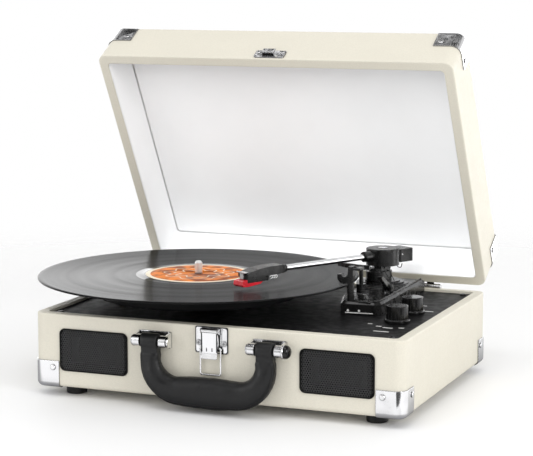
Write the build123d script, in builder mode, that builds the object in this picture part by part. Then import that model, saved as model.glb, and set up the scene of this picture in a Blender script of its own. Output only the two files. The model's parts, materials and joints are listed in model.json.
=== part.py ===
from build123d import *
from math import cos, radians, sin
import os

# ---------------------------------------------------------------------------------------
# Driving dimensions, in millimetres and degrees, from the table under the middle of the
# closed case. +X is to the listener's right, -Y is the front, +Z is up. Finished pieces
# are moved forward by OPEN_MIDDLE_Y, so that the origin lies under the open player's middle.
# ---------------------------------------------------------------------------------------
OPEN_MIDDLE_Y = 14.03
CASE_W = 352
CASE_D = 256
CASE_R = 9
EDGE_R = 4
WALL = 9
FLOOR = 6
FOOT_H = 9
RIM_Z = 76.3
BASE_H = RIM_Z - FOOT_H
FLOOR_Z = FOOT_H + FLOOR
INNER_W = CASE_W - 2 * WALL
INNER_D = CASE_D - 2 * WALL
INNER_R = 4
FRONT_Y = -CASE_D / 2
BACK_Y = CASE_D / 2

# Lid, closed: it sits a thin gap above the base and turns about the hinge line.
LID_GAP = 0.6
LID_H = 50.4
LID_INNER_H = 45
LID_Z = RIM_Z + LID_GAP
LINING_T = 0.5
HINGE_Y = BACK_Y + 4.6
HINGE_Z = RIM_Z + LID_GAP / 2
LID_OPEN = 60

# Deck plate inside the base.
DECK_Z = 74
DECK_T = 2.5
DECK_UNDER = DECK_Z - DECK_T
DECK_SCREWS = [(x, y) for x in (-158.5, 158.5) for y in (-110.5, 110.5)]
BLOCK = 17
SCREW_R = 1.6

FOOT_R = 9.5
FOOT_POINTS = [(x, y) for x in (-145, 145) for y in (-106, 106)]

GUARD_T = 1
GUARD_REACH = 25
GUARD_H = 24
RIVET_R = 1.2

SPEAKER_X = 116
SPEAKER_Z = 44
GRILLE_W = 68
GRILLE_H = 39

# Carrying handle.
HANDLE_X = 54.5
HANDLE_Y = FRONT_Y - 10
HANDLE_Z = 61
GRIP_Z = 18.6
GRIP_W = 28
GRIP_T = 16.8
GRIP_END_W = 16
GRIP_END_T = 13.6
GRIP_BEND_R = 27
PIN_R = 2.5

# Draw latch: lever pivot, loop pivot and the height at which the loop holds the catch.
LEVER_Y = FRONT_Y - 5.2
LEVER_Z = 73
LOOP_Y = FRONT_Y - 3.2
LOOP_Z = 57.65
LOOP_REACH = 23.85
LOOP_X = 9.6
WIRE_R = 0.9

HINGE_X = 112
HINGE_W = 36
KNUCKLE_R = 2.9
HINGE_PIN_R = 1.45
RUN = 0.05

# Turntable.
SPINDLE = (-66, -8)
PLATTER_R = 97
PLATTER_Z = 82
PLATTER_TOP = 95.2
MAT_TOP = 98.2
RING_R = 60
BELT_T = 0.8
PULLEY_R = 4
PULLEY_D = 72
PULLEY_ANGLE = 215
PULLEY = (
    SPINDLE[0] + PULLEY_D * cos(radians(PULLEY_ANGLE)),
    SPINDLE[1] + PULLEY_D * sin(radians(PULLEY_ANGLE)),
)
BELT_Z = 81.2
BELT_H = 3.8

# Tonearm: its pivot, the angle it stands at from straight ahead, and its parked angle.
PIVOT = (86, 84)
PIVOT_Z = 110
ARM_ANGLE = 28
PARK_ANGLE = 1
ARM_TOP = 120
CAP_R = 16
TUBE_R = 2.75
TUBE_START = (14, 113.4)
TUBE_END = (131, 113.8)
STYLUS_D = 175
STYLUS_Z = 101.8
STEM_R = 4

ARM_BASE_Z = 86
KNOB_X = 141
KNOB_YS = {"volume": 5, "function": -40}
KNOB_R = 10
SKIRT_R = 11.5
KNOB_Z = DECK_Z + 0.6
KNOB_H = 15
SHAFT_R = 3

# ---------------------------------------------------------------------------------------
# Shared planes and placements
# ---------------------------------------------------------------------------------------
FRONT = Plane.XZ.offset(-FRONT_Y)
BACK = Plane(origin=(0, BACK_Y, 0), x_dir=(-1, 0, 0), z_dir=(0, 1, 0))


def arm_place(angle):
    """Placement that turns a piece built along +X from the arm's pivot to an arm angle."""
    return Location((PIVOT[0], PIVOT[1], 0), (0, 0, -90 - angle))


ARM = arm_place(ARM_ANGLE)
PARKED = arm_place(PARK_ANGLE)
TO_HINGE = Location((0, HINGE_Y, HINGE_Z))
LID_PLACE = TO_HINGE * Location((0, 0, 0), (-LID_OPEN, 0, 0)) * TO_HINGE.inverse()

os.makedirs("parts", exist_ok=True)


ORIGIN = Location((0, -OPEN_MIDDLE_Y, 0))


def save(piece, name, place=Location()):
    """Labels a finished piece and writes it, moved to its place and to the origin."""
    piece = piece.moved(ORIGIN * place)
    piece.label = name
    export_step(piece, f"parts/{name}.step")


def drill(plane, points, radius, depth):
    """Blind round holes from a plane into the part being built."""
    with BuildSketch(plane) as holes:
        with Locations(*points):
            Circle(radius)
    extrude(holes.sketch, amount=-depth, mode=Mode.SUBTRACT)


def screws(plane, points, head_r, head_h, shank_r, shank_l, slot=True):
    """A group of round-headed screws or rivets that stand on a plane, one solid each."""
    axis = Axis(plane.origin, plane.z_dir)
    with BuildPart() as group:
        with BuildSketch(plane):
            with Locations(*points):
                Circle(head_r)
        extrude(amount=head_h)
        fillet(group.edges().group_by(axis)[-1], head_h * 0.7)
        with BuildSketch(plane):
            with Locations(*points):
                Circle(shank_r)
        extrude(amount=-shank_l)
        if slot:
            with BuildSketch(plane.offset(head_h)):
                with Locations(*points):
                    Rectangle(head_r, head_r * 0.22)
                    Rectangle(head_r * 0.22, head_r)
            extrude(amount=-head_h * 0.45, mode=Mode.SUBTRACT)
    return group.part


# ---------------------------------------------------------------------------------------
# Base case: a covered wooden tray with openings for the speakers and the sockets
# ---------------------------------------------------------------------------------------
SPEAKER_XS = (-SPEAKER_X, SPEAKER_X)
SPEAKER_HOLES = [(dx, dz) for dx in (-22.5, 22.5) for dz in (-20.5, 20.5)]
SPEAKER_SCREWS = [(x + dx, SPEAKER_Z + dz) for x in SPEAKER_XS for dx, dz in SPEAKER_HOLES]
INSIDE_FRONT = Plane(origin=(0, FRONT_Y + WALL, 0), x_dir=(-1, 0, 0), z_dir=(0, 1, 0))
JACK_X = 98
JACK_Z = 42
HINGE_SCREWS = [(side * HINGE_X + dx, 64) for side in (-1, 1) for dx in (-10, 10)]
LID_HINGE_SCREWS = [(x, 2 * HINGE_Z - z) for x, z in HINGE_SCREWS]
LATCH_SCREWS = [(-12, 61.5), (12, 61.5)]
RIVET_IN = 19
BASE_RIVET_Z = FOOT_H + 18
FRONT_RIVETS = [(side * (CASE_W / 2 - RIVET_IN), BASE_RIVET_Z) for side in (-1, 1)]
SIDE_RIVETS = [(side * (CASE_D / 2 - RIVET_IN), BASE_RIVET_Z) for side in (-1, 1)]
RIGHT = Plane(origin=(CASE_W / 2, 0, 0), x_dir=(0, 1, 0), z_dir=(1, 0, 0))
LEFT = Plane(origin=(-CASE_W / 2, 0, 0), x_dir=(0, -1, 0), z_dir=(-1, 0, 0))
BOARD = (95, 55)
BOARD_SIZE = (90, 60)
BOARD_Z = FLOOR_Z + 7
BOARD_POSTS = [(BOARD[0] + sx * 39, BOARD[1] + sy * 24) for sx in (-1, 1) for sy in (-1, 1)]

with BuildPart() as base_case:
    with BuildSketch(Plane.XY.offset(FOOT_H)):
        RectangleRounded(CASE_W, CASE_D, CASE_R)
    extrude(amount=BASE_H)
    fillet(base_case.edges().group_by(Axis.Z)[0], EDGE_R)
    fillet(base_case.edges().group_by(Axis.Z)[-1], 1.2)
    with BuildSketch(Plane.XY.offset(FLOOR_Z)):
        RectangleRounded(INNER_W, INNER_D, INNER_R)
    extrude(amount=BASE_H, mode=Mode.SUBTRACT)
    # Blocks in the corners carry the deck plate, and posts carry the circuit board.
    with BuildSketch(Plane.XY.offset(FLOOR_Z)):
        with Locations(*DECK_SCREWS):
            Rectangle(BLOCK, BLOCK)
    extrude(amount=DECK_UNDER - FLOOR_Z)
    with BuildSketch(Plane.XY.offset(FLOOR_Z)):
        with Locations(*BOARD_POSTS):
            Circle(3)
    extrude(amount=BOARD_Z - FLOOR_Z)
    with BuildSketch(FRONT):
        with Locations((-SPEAKER_X, SPEAKER_Z), (SPEAKER_X, SPEAKER_Z)):
            RectangleRounded(GRILLE_W - 12, GRILLE_H - 9, 5)
    extrude(amount=-WALL, mode=Mode.SUBTRACT)
    with BuildSketch(BACK):
        with Locations((JACK_X, JACK_Z)):
            RectangleRounded(50, 17, 2)
    extrude(amount=-WALL, mode=Mode.SUBTRACT)
    drill(Plane.XY.offset(DECK_UNDER), DECK_SCREWS, SCREW_R, 10)
    drill(Plane(origin=(0, 0, FOOT_H), x_dir=(1, 0, 0), z_dir=(0, 0, -1)), FOOT_POINTS, 2, 5)
    drill(INSIDE_FRONT, SPEAKER_SCREWS, 1, 4)
    drill(FRONT, LATCH_SCREWS, 1, 6)
    drill(BACK, HINGE_SCREWS, 1.2, 7)
    for plane in (FRONT, BACK):
        drill(plane, FRONT_RIVETS, RIVET_R, 5)
    for plane in (RIGHT, LEFT):
        drill(plane, SIDE_RIVETS, RIVET_R, 5)
save(base_case.part, "base_case")

# ---------------------------------------------------------------------------------------
# Feet and their screws
# ---------------------------------------------------------------------------------------
FOOT_RECESS = 4
with BuildPart() as rubber_feet:
    with BuildSketch():
        with Locations(*FOOT_POINTS):
            Circle(FOOT_R)
    extrude(amount=FOOT_H)
    fillet(rubber_feet.edges().group_by(Axis.Z)[0], 1.5)
    with BuildSketch():
        with Locations(*FOOT_POINTS):
            Circle(4.5)
    extrude(amount=FOOT_RECESS, mode=Mode.SUBTRACT)
    with BuildSketch():
        with Locations(*FOOT_POINTS):
            Circle(2)
    extrude(amount=FOOT_H, mode=Mode.SUBTRACT)
save(rubber_feet.part, "rubber_feet")

foot_screw_plane = Plane(origin=(0, 0, FOOT_RECESS), x_dir=(1, 0, 0), z_dir=(0, 0, -1))
save(screws(foot_screw_plane, FOOT_POINTS, 3.8, 2.2, 2, 9), "foot_screws")


# ---------------------------------------------------------------------------------------
# Pressed corner guards, round the four bottom corners and the four top ones
# ---------------------------------------------------------------------------------------
def corner_guards(case_z, case_h, at_top):
    """Four thin shells that wrap the corners of a case half at its bottom or its top."""
    low = case_z + case_h - GUARD_H if at_top else case_z - GUARD_T
    with BuildPart(mode=Mode.PRIVATE) as covered:
        with BuildSketch(Plane.XY.offset(case_z)):
            RectangleRounded(CASE_W, CASE_D, CASE_R)
        extrude(amount=case_h)
        fillet(covered.edges().group_by(Axis.Z)[-1 if at_top else 0], EDGE_R)
    with BuildPart() as guards:
        with BuildSketch(Plane.XY.offset(low)):
            RectangleRounded(CASE_W + 2 * GUARD_T, CASE_D + 2 * GUARD_T, CASE_R + GUARD_T)
        extrude(amount=GUARD_H + GUARD_T)
        fillet(guards.edges().group_by(Axis.Z)[-1 if at_top else 0], EDGE_R + GUARD_T)
        add(covered.part, mode=Mode.SUBTRACT)
        with BuildSketch(Plane.XY.offset(low)):
            Rectangle(CASE_W - 2 * GUARD_REACH, CASE_D + 4)
            Rectangle(CASE_W + 4, CASE_D - 2 * GUARD_REACH)
        extrude(amount=GUARD_H + GUARD_T, mode=Mode.SUBTRACT)
        # The face over the bottom or top of the case is cut back to a narrow lip.
        with BuildSketch(Plane.XY.offset(low)):
            RectangleRounded(CASE_W - 24, CASE_D - 24, 14)
        extrude(amount=GUARD_H + GUARD_T, mode=Mode.SUBTRACT)
        rivet_z = case_z + case_h - 18 if at_top else case_z + 18
        for plane, reach in ((FRONT, CASE_W / 2), (RIGHT, CASE_D / 2)):
            with BuildSketch(plane.offset(5)):
                with Locations((-reach + RIVET_IN, rivet_z), (reach - RIVET_IN, rivet_z)):
                    Circle(RIVET_R)
            extrude(amount=-CASE_W - 10, mode=Mode.SUBTRACT)
    return guards.part


def guard_rivets(rivet_z):
    """Domed rivets, two to a corner guard."""
    front = [(side * (CASE_W / 2 - RIVET_IN), rivet_z) for side in (-1, 1)]
    sides = [(side * (CASE_D / 2 - RIVET_IN), rivet_z) for side in (-1, 1)]
    with BuildPart() as rivets:
        for plane, points in ((FRONT, front), (BACK, front), (RIGHT, sides), (LEFT, sides)):
            add(screws(plane.offset(GUARD_T), points, 2.6, 1.2, RIVET_R, 5, slot=False))
    return rivets.part


save(corner_guards(FOOT_H, BASE_H, False), "base_corner_guards")
save(guard_rivets(BASE_RIVET_Z), "base_guard_rivets")

# ---------------------------------------------------------------------------------------
# Speakers behind the front wall, and their grilles
# ---------------------------------------------------------------------------------------
GRILLE_T = 1.4
SLOTS = 15
for side, name in ((-1, "left_speaker_grille"), (1, "right_speaker_grille")):
    with BuildPart() as grille:
        with BuildSketch(FRONT):
            with Locations((side * SPEAKER_X, SPEAKER_Z)):
                RectangleRounded(GRILLE_W, GRILLE_H, 5)
        extrude(amount=GRILLE_T)
        fillet(grille.edges().group_by(Axis.Y)[0], 0.9)
        with BuildSketch(FRONT.offset(GRILLE_T)):
            with Locations((side * SPEAKER_X, SPEAKER_Z)):
                with GridLocations(0, 1.9, 1, SLOTS):
                    SlotOverall(GRILLE_W - 16, 0.9)
        extrude(amount=-GRILLE_T, mode=Mode.SUBTRACT)
    save(grille.part, name)

BASKET_PLANE = FRONT.offset(-WALL)
SPEAKER_POINTS = [(-SPEAKER_X, SPEAKER_Z), (SPEAKER_X, SPEAKER_Z)]
with BuildPart() as speaker_baskets:
    with BuildSketch(BASKET_PLANE):
        with Locations(*SPEAKER_POINTS):
            RectangleRounded(54, 50, 5)
            Circle(21, mode=Mode.SUBTRACT)
    extrude(amount=-2)
    with BuildSketch(BASKET_PLANE.offset(-2)) as rim:
        with Locations(*SPEAKER_POINTS):
            Circle(21.8)
    with BuildSketch(BASKET_PLANE.offset(-16)) as throat:
        with Locations(*SPEAKER_POINTS):
            Circle(13)
    for wide, narrow in zip(rim.sketch.faces(), throat.sketch.faces()):
        loft([wide, narrow])
    with BuildSketch(BASKET_PLANE) as rim_inside:
        with Locations(*SPEAKER_POINTS):
            Circle(21)
    with BuildSketch(BASKET_PLANE.offset(-14.5)) as throat_inside:
        with Locations(*SPEAKER_POINTS):
            Circle(12)
    for wide, narrow in zip(rim_inside.sketch.faces(), throat_inside.sketch.faces()):
        loft([wide, narrow], mode=Mode.SUBTRACT)
    drill(BASKET_PLANE, SPEAKER_SCREWS, 1, 2)
save(speaker_baskets.part, "speaker_baskets")

with BuildPart() as speaker_cones:
    for x, z in SPEAKER_POINTS:
        with BuildSketch(Plane.XY.offset(z)):
            with BuildLine():
                Polyline(
                    (x, FRONT_Y + WALL + 7),
                    (x + 6, FRONT_Y + WALL + 8.5),
                    (x + 18, FRONT_Y + WALL + 1.6),
                    (x + 20.3, FRONT_Y + WALL + 0.4),
                    (x + 20.3, FRONT_Y + WALL + 1.2),
                    (x + 18, FRONT_Y + WALL + 2.6),
                    (x + 6, FRONT_Y + WALL + 9.5),
                    (x, FRONT_Y + WALL + 8),
                    close=True,
                )
            make_face()
        revolve(axis=Axis((x, 0, z), (0, 1, 0)))
save(speaker_cones.part, "speaker_cones")

with BuildPart() as speaker_magnets:
    with BuildSketch(BASKET_PLANE.offset(-16)):
        with Locations(*SPEAKER_POINTS):
            Circle(17)
    extrude(amount=-9)
    chamfer(speaker_magnets.edges().group_by(Axis.Y)[-1], 1)
save(speaker_magnets.part, "speaker_magnets")

save(screws(INSIDE_FRONT.offset(2), SPEAKER_SCREWS, 2, 1.2, 1, 6), "speaker_screws")

# ---------------------------------------------------------------------------------------
# Draw latch on the front of the base
# ---------------------------------------------------------------------------------------
EAR_X = 8.1
LATCH_T = 1
with BuildPart() as latch_plate:
    with BuildSketch(FRONT):
        with Locations((0, 64.2)):
            RectangleRounded(30, 22.6, 2.5)
    extrude(amount=LATCH_T)
    for side in (-1, 1):
        with BuildSketch(Plane.YZ.offset(side * EAR_X - 0.4)):
            with BuildLine():
                Polyline(
                    (FRONT_Y - LATCH_T, 75),
                    (LEVER_Y - 1, 75),
                    (LEVER_Y - 2, 74),
                    (LEVER_Y - 2, 72),
                    (LEVER_Y - 1, 71),
                    (FRONT_Y - LATCH_T, 69),
                    close=True,
                )
            make_face()
            with Locations((LEVER_Y, LEVER_Z)):
                Circle(1 + RUN, mode=Mode.SUBTRACT)
        extrude(amount=0.8)
    drill(FRONT.offset(LATCH_T), LATCH_SCREWS, 1, LATCH_T)
save(latch_plate.part, "latch_plate")
save(screws(FRONT.offset(LATCH_T), LATCH_SCREWS, 2.5, 1, 1, 6), "latch_screws")

LEVER_W = 15
with BuildPart() as latch_lever:
    with BuildSketch(Plane.YZ.offset(-LEVER_W / 2)):
        with Locations((LEVER_Y, LEVER_Z)):
            Circle(1.9)
        with BuildLine():
            Polyline(
                (LEVER_Y - 1.2, LEVER_Z),
                (LEVER_Y, LEVER_Z),
                (LEVER_Y + 0.4, 53),
                (LEVER_Y - 1.6, 48.5),
                (LEVER_Y - 2.8, 48.5),
                (LEVER_Y - 0.8, 53.2),
                close=True,
            )
        make_face()
    extrude(amount=LEVER_W)
    for side in (-1, 1):
        with BuildSketch(Plane.YZ.offset(side * (LEVER_W / 2 - 0.4) - 0.4)):
            with BuildLine():
                Polyline(
                    (LEVER_Y - 0.6, 70.5),
                    (LEVER_Y + 1, 69.5),
                    (LOOP_Y + 1.7, LOOP_Z + 3),
                    (LOOP_Y + 1.7, LOOP_Z - 1.5),
                    (LOOP_Y, LOOP_Z - 2.4),
                    (LEVER_Y - 0.6, LOOP_Z - 2.4),
                    close=True,
                )
            make_face()
        extrude(amount=0.8)
    with BuildSketch(Plane.YZ.offset(-EAR_X - 0.4)):
        with Locations((LEVER_Y, LEVER_Z)):
            Circle(1)
    extrude(amount=2 * EAR_X + 0.8)
    with BuildSketch(Plane.YZ.offset(-LEVER_W)):
        with Locations((LOOP_Y, LOOP_Z)):
            Circle(WIRE_R + RUN)
    extrude(amount=2 * LEVER_W, mode=Mode.SUBTRACT)
save(latch_lever.part, "latch_lever")

with BuildPart() as latch_loop:
    with BuildLine() as loop_path:
        FilletPolyline(
            (-6.2, LOOP_Y, LOOP_Z),
            (-LOOP_X, LOOP_Y, LOOP_Z),
            (-LOOP_X, LOOP_Y, LOOP_Z - LOOP_REACH),
            (LOOP_X, LOOP_Y, LOOP_Z - LOOP_REACH),
            (LOOP_X, LOOP_Y, LOOP_Z),
            (6.2, LOOP_Y, LOOP_Z),
            radius=1.6,
        )
    with BuildSketch(Plane(origin=(-6.2, LOOP_Y, LOOP_Z), z_dir=(-1, 0, 0))):
        Circle(WIRE_R)
    sweep()
save(latch_loop.part, "latch_loop")

# ---------------------------------------------------------------------------------------
# Carrying handle: two brackets with ears and bosses, two pins and a padded grip
# ---------------------------------------------------------------------------------------
EAR_IN = 14.2
EAR_OUT = 16
BOSS_IN = 9.3
BOSS_R = 5.4
PIN_HEAD_R = 4.6
PIN_CAP_SEAT_R = 6.7
PIN_CAP_R = 6
PIN_CAP_RISE = 5
HANDLE_XS = (-HANDLE_X, HANDLE_X)
with BuildPart() as handle_brackets:
    with BuildSketch(FRONT):
        with Locations(*[(x, HANDLE_Z) for x in HANDLE_XS]):
            RectangleRounded(2 * EAR_OUT, 15, 2)
    extrude(amount=1.2)
    for x in HANDLE_XS:
        for side in (-1, 1):
            ear_x = x + side * (EAR_IN + EAR_OUT) / 2 - (EAR_OUT - EAR_IN) / 2
            with BuildSketch(Plane.YZ.offset(ear_x)):
                with Locations((HANDLE_Y, HANDLE_Z)):
                    Circle(BOSS_R)
                with BuildLine():
                    Polyline(
                        (FRONT_Y, HANDLE_Z - 7),
                        (HANDLE_Y, HANDLE_Z - BOSS_R),
                        (HANDLE_Y, HANDLE_Z + BOSS_R),
                        (FRONT_Y, HANDLE_Z + 7),
                        close=True,
                    )
                make_face()
            extrude(amount=EAR_OUT - EAR_IN)
            with BuildSketch(Plane.YZ.offset(x + side * (BOSS_IN + EAR_IN) / 2 - (EAR_IN - BOSS_IN) / 2)):
                with Locations((HANDLE_Y, HANDLE_Z)):
                    Circle(BOSS_R)
            extrude(amount=EAR_IN - BOSS_IN)
    with BuildSketch(Plane.YZ.offset(-CASE_W / 2)):
        with Locations((HANDLE_Y, HANDLE_Z)):
            Circle(PIN_R)
    extrude(amount=CASE_W, mode=Mode.SUBTRACT)
save(handle_brackets.part, "handle_brackets")

with BuildPart() as handle_pins:
    for x in HANDLE_XS:
        with BuildSketch(Plane.YZ.offset(x - EAR_OUT)):
            with Locations((HANDLE_Y, HANDLE_Z)):
                Circle(PIN_R)
        extrude(amount=2 * EAR_OUT)
        for side in (-1, 1):
            with BuildSketch(Plane.YZ.offset(x + side * (EAR_OUT + 0.9) - 0.9)):
                with Locations((HANDLE_Y, HANDLE_Z)):
                    Circle(PIN_CAP_SEAT_R if (x, side) == (HANDLE_X, 1) else PIN_HEAD_R)
            extrude(amount=1.8)
    rims = handle_pins.edges().filter_by(GeomType.CIRCLE).filter_by(lambda e: e.radius > 4)
    chamfer(rims, 0.5)
save(handle_pins.part, "handle_pins")

# The right-hand pin ends in a domed cap that is bonded to its wide head.
with BuildPart() as handle_pin_cap:
    with BuildSketch(Plane.YZ.offset(HANDLE_X + EAR_OUT + 1.8)):
        with Locations((HANDLE_Y, HANDLE_Z)):
            Circle(PIN_CAP_R)
    extrude(amount=PIN_CAP_RISE)
    fillet(handle_pin_cap.faces().sort_by(Axis.X)[-1].edges(), PIN_CAP_RISE - 0.8)
save(handle_pin_cap.part, "handle_pin_cap")

# The grip swells from its ends to its middle, and each end wraps round a pin.
with BuildPart() as handle_grip:
    with BuildLine() as grip_line:
        FilletPolyline(
            (-HANDLE_X, HANDLE_Y, HANDLE_Z),
            (-HANDLE_X, HANDLE_Y, GRIP_Z),
            (HANDLE_X, HANDLE_Y, GRIP_Z),
            (HANDLE_X, HANDLE_Y, HANDLE_Z),
            radius=GRIP_BEND_R,
        )
    grip_path = grip_line.wires()[0]
    grip_sizes = ((0, GRIP_END_W, GRIP_END_T), (0.5, GRIP_W, GRIP_T), (1, GRIP_END_W, GRIP_END_T))
    for share, wide, thick in grip_sizes:
        section = Plane(origin=grip_path @ share, x_dir=(0, 1, 0), z_dir=grip_path % share)
        with BuildSketch(section):
            Ellipse(thick / 2, wide / 2)
    sweep(path=grip_path, multisection=True)
    for x in HANDLE_XS:
        with BuildSketch(Plane.YZ.offset(x - GRIP_END_W / 2)):
            with Locations((HANDLE_Y, HANDLE_Z)):
                Circle(7.2)
        extrude(amount=GRIP_END_W)
    with BuildSketch(Plane.YZ.offset(-CASE_W / 2)):
        with Locations((HANDLE_Y, HANDLE_Z)):
            Circle(PIN_R + RUN)
    extrude(amount=CASE_W, mode=Mode.SUBTRACT)
save(handle_grip.part, "handle_grip")


# ---------------------------------------------------------------------------------------
# Butt hinges on the back: the base leaf has three knuckles, the lid leaf two
# ---------------------------------------------------------------------------------------
def hinge_leaves(up, knuckles, bore):
    """Both hinges' leaves for one case half: a plate, a web and every other knuckle."""
    pitch = HINGE_W / 5
    web_z = HINGE_Z + up * (KNUCKLE_R - 0.65)
    plate_z = HINGE_Z + up * 10.5
    with BuildPart() as leaves:
        with BuildSketch(BACK):
            with Locations((-HINGE_X, plate_z), (HINGE_X, plate_z)):
                RectangleRounded(HINGE_W, 16, 2)
        extrude(amount=1.2)
        for side in (-1, 1):
            for index in knuckles:
                start = side * HINGE_X - HINGE_W / 2 + index * pitch + 0.1
                with BuildSketch(Plane.YZ.offset(start)):
                    with Locations((HINGE_Y, HINGE_Z)):
                        Circle(KNUCKLE_R)
                    with Locations(((BACK_Y + HINGE_Y) / 2, web_z)):
                        Rectangle(HINGE_Y - BACK_Y, 1.3)
                extrude(amount=pitch - 0.2)
        with BuildSketch(Plane.YZ.offset(-CASE_W / 2)):
            with Locations((HINGE_Y, HINGE_Z)):
                Circle(bore)
        extrude(amount=CASE_W, mode=Mode.SUBTRACT)
        points = HINGE_SCREWS if up < 0 else LID_HINGE_SCREWS
        drill(BACK.offset(1.2), points, 1.2, 1.2)
    return leaves.part


save(hinge_leaves(-1, (0, 2, 4), HINGE_PIN_R), "hinge_base_leaves")
save(screws(BACK.offset(1.2), HINGE_SCREWS, 2.4, 1.1, 1.2, 7), "hinge_base_screws")
with BuildPart() as hinge_pins:
    for side in (-1, 1):
        with BuildSketch(Plane.YZ.offset(side * HINGE_X - HINGE_W / 2)):
            with Locations((HINGE_Y, HINGE_Z)):
                Circle(HINGE_PIN_R)
        extrude(amount=HINGE_W)
save(hinge_pins.part, "hinge_pins")

# ---------------------------------------------------------------------------------------
# Lid, built closed and then opened about the hinge line
# ---------------------------------------------------------------------------------------
LID_TOP = LID_Z + LID_H
CATCH_SCREWS = [(-11.8, LID_Z + 9.3), (11.8, LID_Z + 9.3)]
LID_RIVET_Z = LID_TOP - 18
with BuildPart() as lid_case:
    with BuildSketch(Plane.XY.offset(LID_Z)):
        RectangleRounded(CASE_W, CASE_D, CASE_R)
    extrude(amount=LID_H)
    fillet(lid_case.edges().group_by(Axis.Z)[-1], EDGE_R)
    fillet(lid_case.edges().group_by(Axis.Z)[0], 1.2)
    with BuildSketch(Plane.XY.offset(LID_Z)):
        RectangleRounded(INNER_W, INNER_D, INNER_R)
    extrude(amount=LID_INNER_H, mode=Mode.SUBTRACT)
    drill(FRONT, CATCH_SCREWS, 1, 6)
    drill(BACK, LID_HINGE_SCREWS, 1.2, 7)
    lid_front_rivets = [(x, LID_RIVET_Z) for x, z in FRONT_RIVETS]
    lid_side_rivets = [(y, LID_RIVET_Z) for y, z in SIDE_RIVETS]
    for plane, points in ((FRONT, lid_front_rivets), (BACK, lid_front_rivets)):
        drill(plane, points, RIVET_R, 5)
    for plane, points in ((RIGHT, lid_side_rivets), (LEFT, lid_side_rivets)):
        drill(plane, points, RIVET_R, 5)
save(lid_case.part, "lid_case", LID_PLACE)

with BuildPart() as lid_lining:
    with BuildSketch(Plane.XY.offset(LID_Z + 0.8)):
        RectangleRounded(INNER_W - 0.1, INNER_D - 0.1, INNER_R)
    extrude(amount=LID_INNER_H - 0.85)
    with BuildSketch(Plane.XY.offset(LID_Z)):
        RectangleRounded(INNER_W - 0.1 - 2 * LINING_T, INNER_D - 0.1 - 2 * LINING_T, INNER_R - LINING_T)
    extrude(amount=LID_INNER_H - 0.05 - LINING_T, mode=Mode.SUBTRACT)
save(lid_lining.part, "lid_lining", LID_PLACE)

save(corner_guards(LID_Z, LID_H, True), "lid_corner_guards", LID_PLACE)
save(guard_rivets(LID_RIVET_Z), "lid_guard_rivets", LID_PLACE)
save(hinge_leaves(1, (1, 3), HINGE_PIN_R + RUN), "hinge_lid_leaves", LID_PLACE)
save(screws(BACK.offset(1.2), LID_HINGE_SCREWS, 2.4, 1.1, 1.2, 7), "hinge_lid_screws", LID_PLACE)

with BuildPart() as lid_catch:
    with BuildSketch(FRONT):
        with Locations((0, LID_Z + 7)):
            RectangleRounded(30, 11.4, 2)
    extrude(amount=LATCH_T)
    with BuildSketch(Plane.YZ.offset(-6)):
        with BuildLine():
            Polyline(
                (FRONT_Y - LATCH_T, LID_Z + 2.3),
                (FRONT_Y - 5.5, LID_Z + 2.3),
                (FRONT_Y - 5.5, LID_Z + 9),
                (FRONT_Y - 4.5, LID_Z + 9),
                (FRONT_Y - 4.5, LID_Z + 3.3),
                (FRONT_Y - LATCH_T, LID_Z + 3.3),
                close=True,
            )
        make_face()
    extrude(amount=12)
    drill(FRONT.offset(LATCH_T), CATCH_SCREWS, 1, LATCH_T)
save(lid_catch.part, "lid_catch", LID_PLACE)
save(screws(FRONT.offset(LATCH_T), CATCH_SCREWS, 2.2, 1, 1, 6), "catch_screws", LID_PLACE)

# ---------------------------------------------------------------------------------------
# Sockets on the back: two phono sockets and the power socket in a moulded plate
# ---------------------------------------------------------------------------------------
PHONO_POINTS = [(JACK_X + 16, JACK_Z), (JACK_X + 1, JACK_Z)]
POWER_POINT = (JACK_X - 16, JACK_Z)
with BuildPart() as jack_plate:
    with BuildSketch(BACK):
        with Locations((JACK_X, JACK_Z)):
            RectangleRounded(60, 25, 3)
        with Locations(*PHONO_POINTS):
            Circle(4, mode=Mode.SUBTRACT)
        with Locations(POWER_POINT):
            Circle(4.5, mode=Mode.SUBTRACT)
    extrude(amount=1.5)
    fillet(jack_plate.edges().filter_by(Plane.XZ).group_by(Axis.Y)[-1].sort_by(SortBy.LENGTH)[-2:], 0.6)
save(jack_plate.part, "jack_plate")

PHONO_R = 4.15
with BuildPart() as line_out_jacks:
    with BuildSketch(BACK.offset(-6)):
        with Locations(*PHONO_POINTS):
            Circle(4)
    extrude(amount=7.5)
    with BuildSketch(BACK.offset(1.5)):
        with Locations(*PHONO_POINTS):
            Circle(6)
    extrude(amount=1)
    with BuildSketch(BACK.offset(2.5)):
        with Locations(*PHONO_POINTS):
            Circle(PHONO_R)
    extrude(amount=9)
    with BuildSketch(BACK.offset(11.5)):
        with Locations(*PHONO_POINTS):
            Circle(1.7)
    extrude(amount=-10, mode=Mode.SUBTRACT)
save(line_out_jacks.part, "line_out_jacks")

with BuildPart() as power_jack:
    with BuildSketch(BACK.offset(-10)):
        with Locations(POWER_POINT):
            Circle(4.5)
    extrude(amount=11.5)
    with BuildSketch(BACK.offset(1.5)):
        with Locations(POWER_POINT):
            Circle(5.8)
            Circle(2.8, mode=Mode.SUBTRACT)
    extrude(amount=1)
    with BuildSketch(BACK.offset(2.5)):
        with Locations(POWER_POINT):
            Circle(2.8)
            Circle(1, mode=Mode.SUBTRACT)
    extrude(amount=-9, mode=Mode.SUBTRACT)
save(power_jack.part, "power_jack")

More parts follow.
